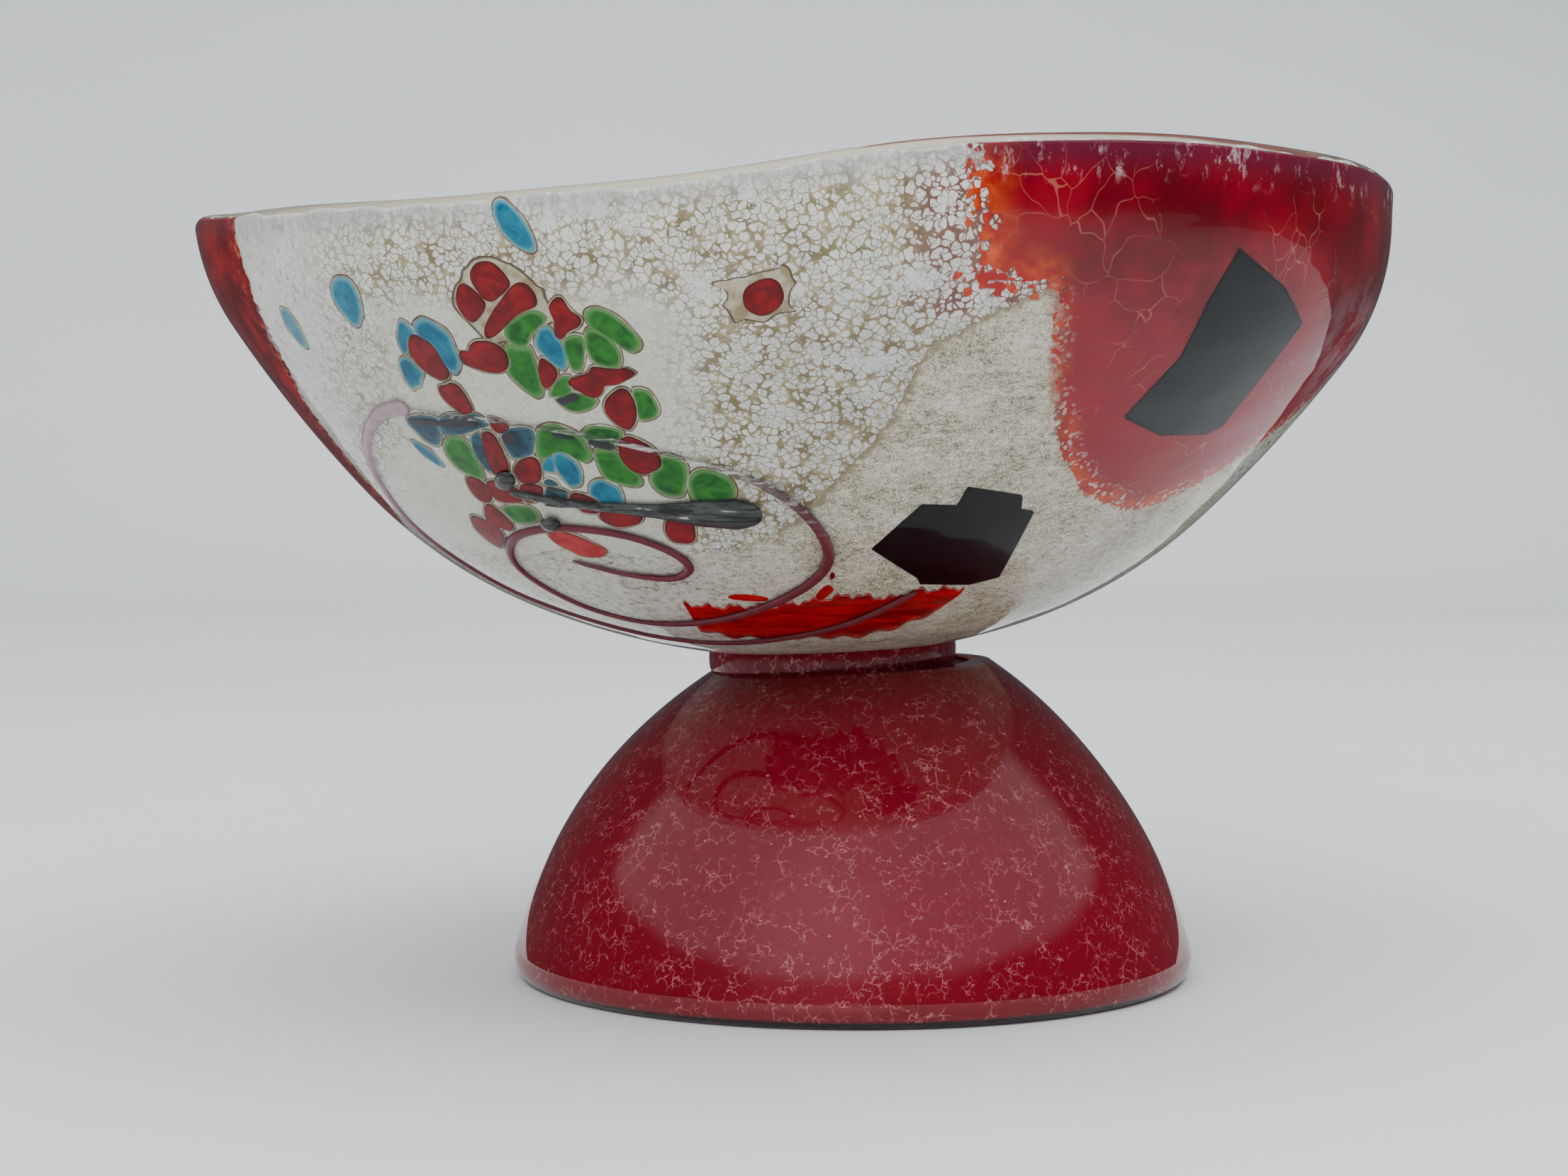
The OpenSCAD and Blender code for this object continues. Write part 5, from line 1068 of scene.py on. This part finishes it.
rise = np.linspace(1.8, 72.3, 90)
down = np.concatenate([np.linspace(64.0, 10.5, 54), [9.6, 6.0, 3.0]])
outer = foot_point(0, rise, np.interp(rise, [1.8, 4.0, 72.3], [2.7, 2.3, 2.3]))[0]
inside = foot_point(0, down, np.interp(down, [3.0, 6.0, 9.6, 10.5], [4.4, 5.4, 6.4, 7.0]))[0]
cap_r = np.linspace(foot_point(0, 72.3, 2.3)[0], 2.0, 12)[1:]
under_r = np.linspace(2.0, foot_point(0, 64.0, 7.0)[0], 12)[:-1]
section_r = np.concatenate([outer, cap_r, under_r, inside])
section_z = np.concatenate([rise, 72.3 + 0.5 * (1 - (cap_r / 30) ** 2), np.full(11, 65.0), down])


def arched(obj):
    """Lifts the lowest part of a turned body in the rim's shallow arch."""
    co = np.empty(len(obj.data.vertices) * 3)
    obj.data.vertices.foreach_get("co", co)
    co = co.reshape(-1, 3)
    turn = np.arctan2(co[:, 0] - FOOT_X * 0.001, -co[:, 1])
    co[:, 2] += arch(0, turn, 0.0034) * np.clip(1 - co[:, 2] / 0.009, 0, 1) ** 1.2
    obj.data.vertices.foreach_set("co", co.ravel())
    obj.data.update()
    return obj


def ruby_body():
    """Ruby layer: one closed section turned round the axis. The two innermost rings stand 2 mm from
    the axis, so the top keeps a hole 4 mm across."""
    return arched(revolve("foot_ruby_glass", section_r, section_z))


FOOT_RED = foot_red()
put(ruby_body(), FOOT_RED, "foot_ruby", "foot_ruby")


def flecks(count=900):
    """Torn leaf scraps in the foot: small six-sided flakes on the ruby, scattered by a golden-angle
    rule with uneven density, each with its own size and turn."""
    k = np.arange(count)
    turn = (k * 2.399963) % (2 * np.pi)
    z = 12 + 54 * ((k * 0.754877) % 1.0)
    spot = np.sin(5 * turn + 0.05 * z) + np.sin(0.21 * z + 2 * turn) + 0.8 * np.sin(11 * turn - 0.13 * z)
    keep = spot > -0.1
    turn, z, k = turn[keep], z[keep], k[keep]
    size = 0.12 + 0.30 * ((k * 0.569840) % 1.0) ** 2
    a = np.linspace(0, 2 * np.pi, 6, endpoint=False)[None, :] + (k * 1.7)[:, None]
    wob = 1 + 0.45 * np.sin(3 * a + k[:, None])
    du, dz = size[:, None] * wob * np.cos(a), 0.6 * size[:, None] * wob * np.sin(a)
    zz = z[:, None] + dz
    r = foot_point(0, zz, 2.24)[0]
    tt = turn[:, None] + du / r
    p = np.stack([FOOT_X + r * np.sin(tt), -r * np.cos(tt), top_slope(r, zz, tt)], -1) * 0.001
    n = len(k)
    faces = np.arange(n * 6).reshape(n, 6)[:, ::-1]
    return build("foot_silver_scraps", p, faces.tolist())


put(flecks(), leaf_flecks(), "foot_silver", "foot_silver_leaf")


def collar():
    """Clear joining disc: a bulged edge between the foot's sloping top and the bowl's underside."""
    a = np.linspace(-np.pi / 2, np.pi / 2, 20)[:, None]
    turn = np.linspace(0, 2 * np.pi, 200, endpoint=False)[None, :]
    x0, y0 = COLLAR_X + COLLAR_R * np.sin(turn), -COLLAR_R * np.cos(turn)
    low = COLLAR_Z - 0.4 + (x0 - FOOT_X) * math.tan(SLOPE)
    reach = np.hypot(x0 - BOWL_X, y0)
    high = BOWL_BASE + reach ** 2 / 330.0 - (x0 - BOWL_X) * math.tan(LEAN) + 1.3
    mid, half = (low + high) / 2, (high - low) / 2
    grow = 1 + 0.02 * np.cos(a)
    rings = np.stack([COLLAR_X + (x0 - COLLAR_X) * grow, y0 * grow, mid + half * np.sin(a)], -1)
    share = np.linspace(0.1, 0.95, 8)[:, None, None]
    lower = np.array([COLLAR_X, 0, COLLAR_Z - 0.4]) + share * (rings[:1] - np.array([COLLAR_X, 0, COLLAR_Z - 0.4]))
    upper = np.array([COLLAR_X, 0, BOWL_BASE + 1.6]) + share[::-1] * (rings[-1:] - np.array([COLLAR_X, 0, BOWL_BASE + 1.6]))
    body = np.concatenate([lower, rings, upper]) * 0.001
    return turned("collar_clear_glass", body, np.array([[COLLAR_X, 0, COLLAR_Z - 0.4]]) * 0.001,
                  np.array([[COLLAR_X, 0, BOWL_BASE + 1.6]]) * 0.001)


put(collar(), GLASS, "clear_glass", "joining_collar")


def collar_core():
    """Ruby drawn up into the joining disc: a low drum with a bulged side between the foot and the bowl."""
    a = np.linspace(-np.pi / 2, np.pi / 2, 16)[:, None]
    turn = np.linspace(0, 2 * np.pi, 160, endpoint=False)[None, :]
    x0, y0 = COLLAR_X + 27.6 * np.sin(turn), -27.6 * np.cos(turn)
    low = 71.2 + (x0 - FOOT_X) * math.tan(SLOPE)
    high = BOWL_BASE + np.hypot(x0 - BOWL_X, y0) ** 2 / 330.0 - (x0 - BOWL_X) * math.tan(LEAN) + 0.2
    mid, half = (low + high) / 2, np.maximum(high - low, 0.4) / 2
    side = np.stack([COLLAR_X + (x0 - COLLAR_X) * (1 + 0.01 * np.cos(a)), y0 * (1 + 0.01 * np.cos(a)),
                     mid + half * np.sin(a)], -1)
    return turned("foot_ruby_neck", side * 0.001, np.array([[COLLAR_X, 0, 71.2]]) * 0.001,
                  np.array([[COLLAR_X, 0, BOWL_BASE + 0.2]]) * 0.001)


put(collar_core(), FOOT_RED, "foot_ruby", "foot_ruby")


# ---------------------------------------------------------------- table, backdrop, light and camera
def table_and_backdrop():
    """Pale table top that curves up into a pale backdrop behind the object: flat, then a quarter round,
    then upright. The backdrop is left out of reflections, so that the glass keeps its dark outline."""
    f = Finish("pale table", Roughness=0.45)
    f.set(Base_Color=f.mix(f.noise(6.0, 4.0), (0.66, 0.68, 0.69), (0.71, 0.73, 0.735)))
    a = np.linspace(0, np.pi / 2, 16)
    x = np.linspace(-2.4, 2.4, 2)
    parts = {"table_top": (np.linspace(-1.1, 0.35, 6), np.zeros(6)),
             "backdrop": (np.concatenate([[0.35, 0.9], 1.4 + 0.6 * np.sin(a), [2.0]]),
                          np.concatenate([[0, 0], 0.6 - 0.6 * np.cos(a), [2.2]]))}
    for name, (y, z) in parts.items():
        p = np.stack([x[None, :] + 0 * y[:, None], y[:, None] + 0 * x, z[:, None] + 0 * x], -1)
        obj = build(name, p, quads(len(y), 2, wrap_cols=False))
        obj.data.materials.append(f.material)
        obj.visible_glossy = name == "table_top"


table_and_backdrop()


def softbox(name, place, aim, width, height, power, colour=(1, 1, 1)):
    """A rectangular soft light that faces a point."""
    light = bpy.data.lights.new(name, "AREA")
    light.shape, light.size, light.size_y = "RECTANGLE", width, height
    light.energy, light.color = power, colour
    obj = bpy.data.objects.new(name, light)
    obj.location = place
    d = np.array(aim) - np.array(place)
    d = d / np.linalg.norm(d)
    obj.rotation_euler = (math.acos(-d[2]), 0, math.atan2(d[1], d[0]) - math.pi / 2)
    obj.visible_glossy = False
    bpy.context.scene.collection.objects.link(obj)


softbox("top soft light", (0.1, -0.25, 1.5), (0.0, 0.0, 0.1), 1.8, 1.4, 30)
softbox("front soft light", (-0.5, -1.9, 1.3), (0.0, 0.0, 0.1), 1.6, 1.1, 34)
softbox("back soft light", (0.4, 1.2, 1.4), (0.0, 0.0, 0.15), 1.8, 0.8, 16)

world = bpy.data.worlds.new("studio")
bpy.context.scene.world = world
world.use_nodes = True
tree = world.node_tree
place = tree.nodes.new("ShaderNodeTexCoord")
parts = tree.nodes.new("ShaderNodeSeparateXYZ")
tree.links.new(place.outputs["Generated"], parts.inputs[0])
ahead, up = Value(tree, parts.outputs[1]), Value(tree, parts.outputs[2])
overcast = (up.step(0.36, 0.44) * (1 - ahead.step(0.22, 0.42))).at_least(up.step(0.92, 0.98))
tree.nodes["Background"].inputs["Color"].default_value = (0.80, 0.85, 0.92, 1)
tree.links.new((0.10 + 1.15 * overcast).socket, tree.nodes["Background"].inputs["Strength"])

camera = bpy.data.cameras.new("camera")
camera.lens, camera.sensor_width = 80.07, 36.0
camera.clip_start, camera.clip_end = 0.05, 20
eye = bpy.data.objects.new("camera", camera)
eye.location = (-0.0022, -0.820, 0.137)
eye.rotation_euler = (math.radians(90 - 3.217), 0, 0)
bpy.context.scene.collection.objects.link(eye)
bpy.context.scene.camera = eye
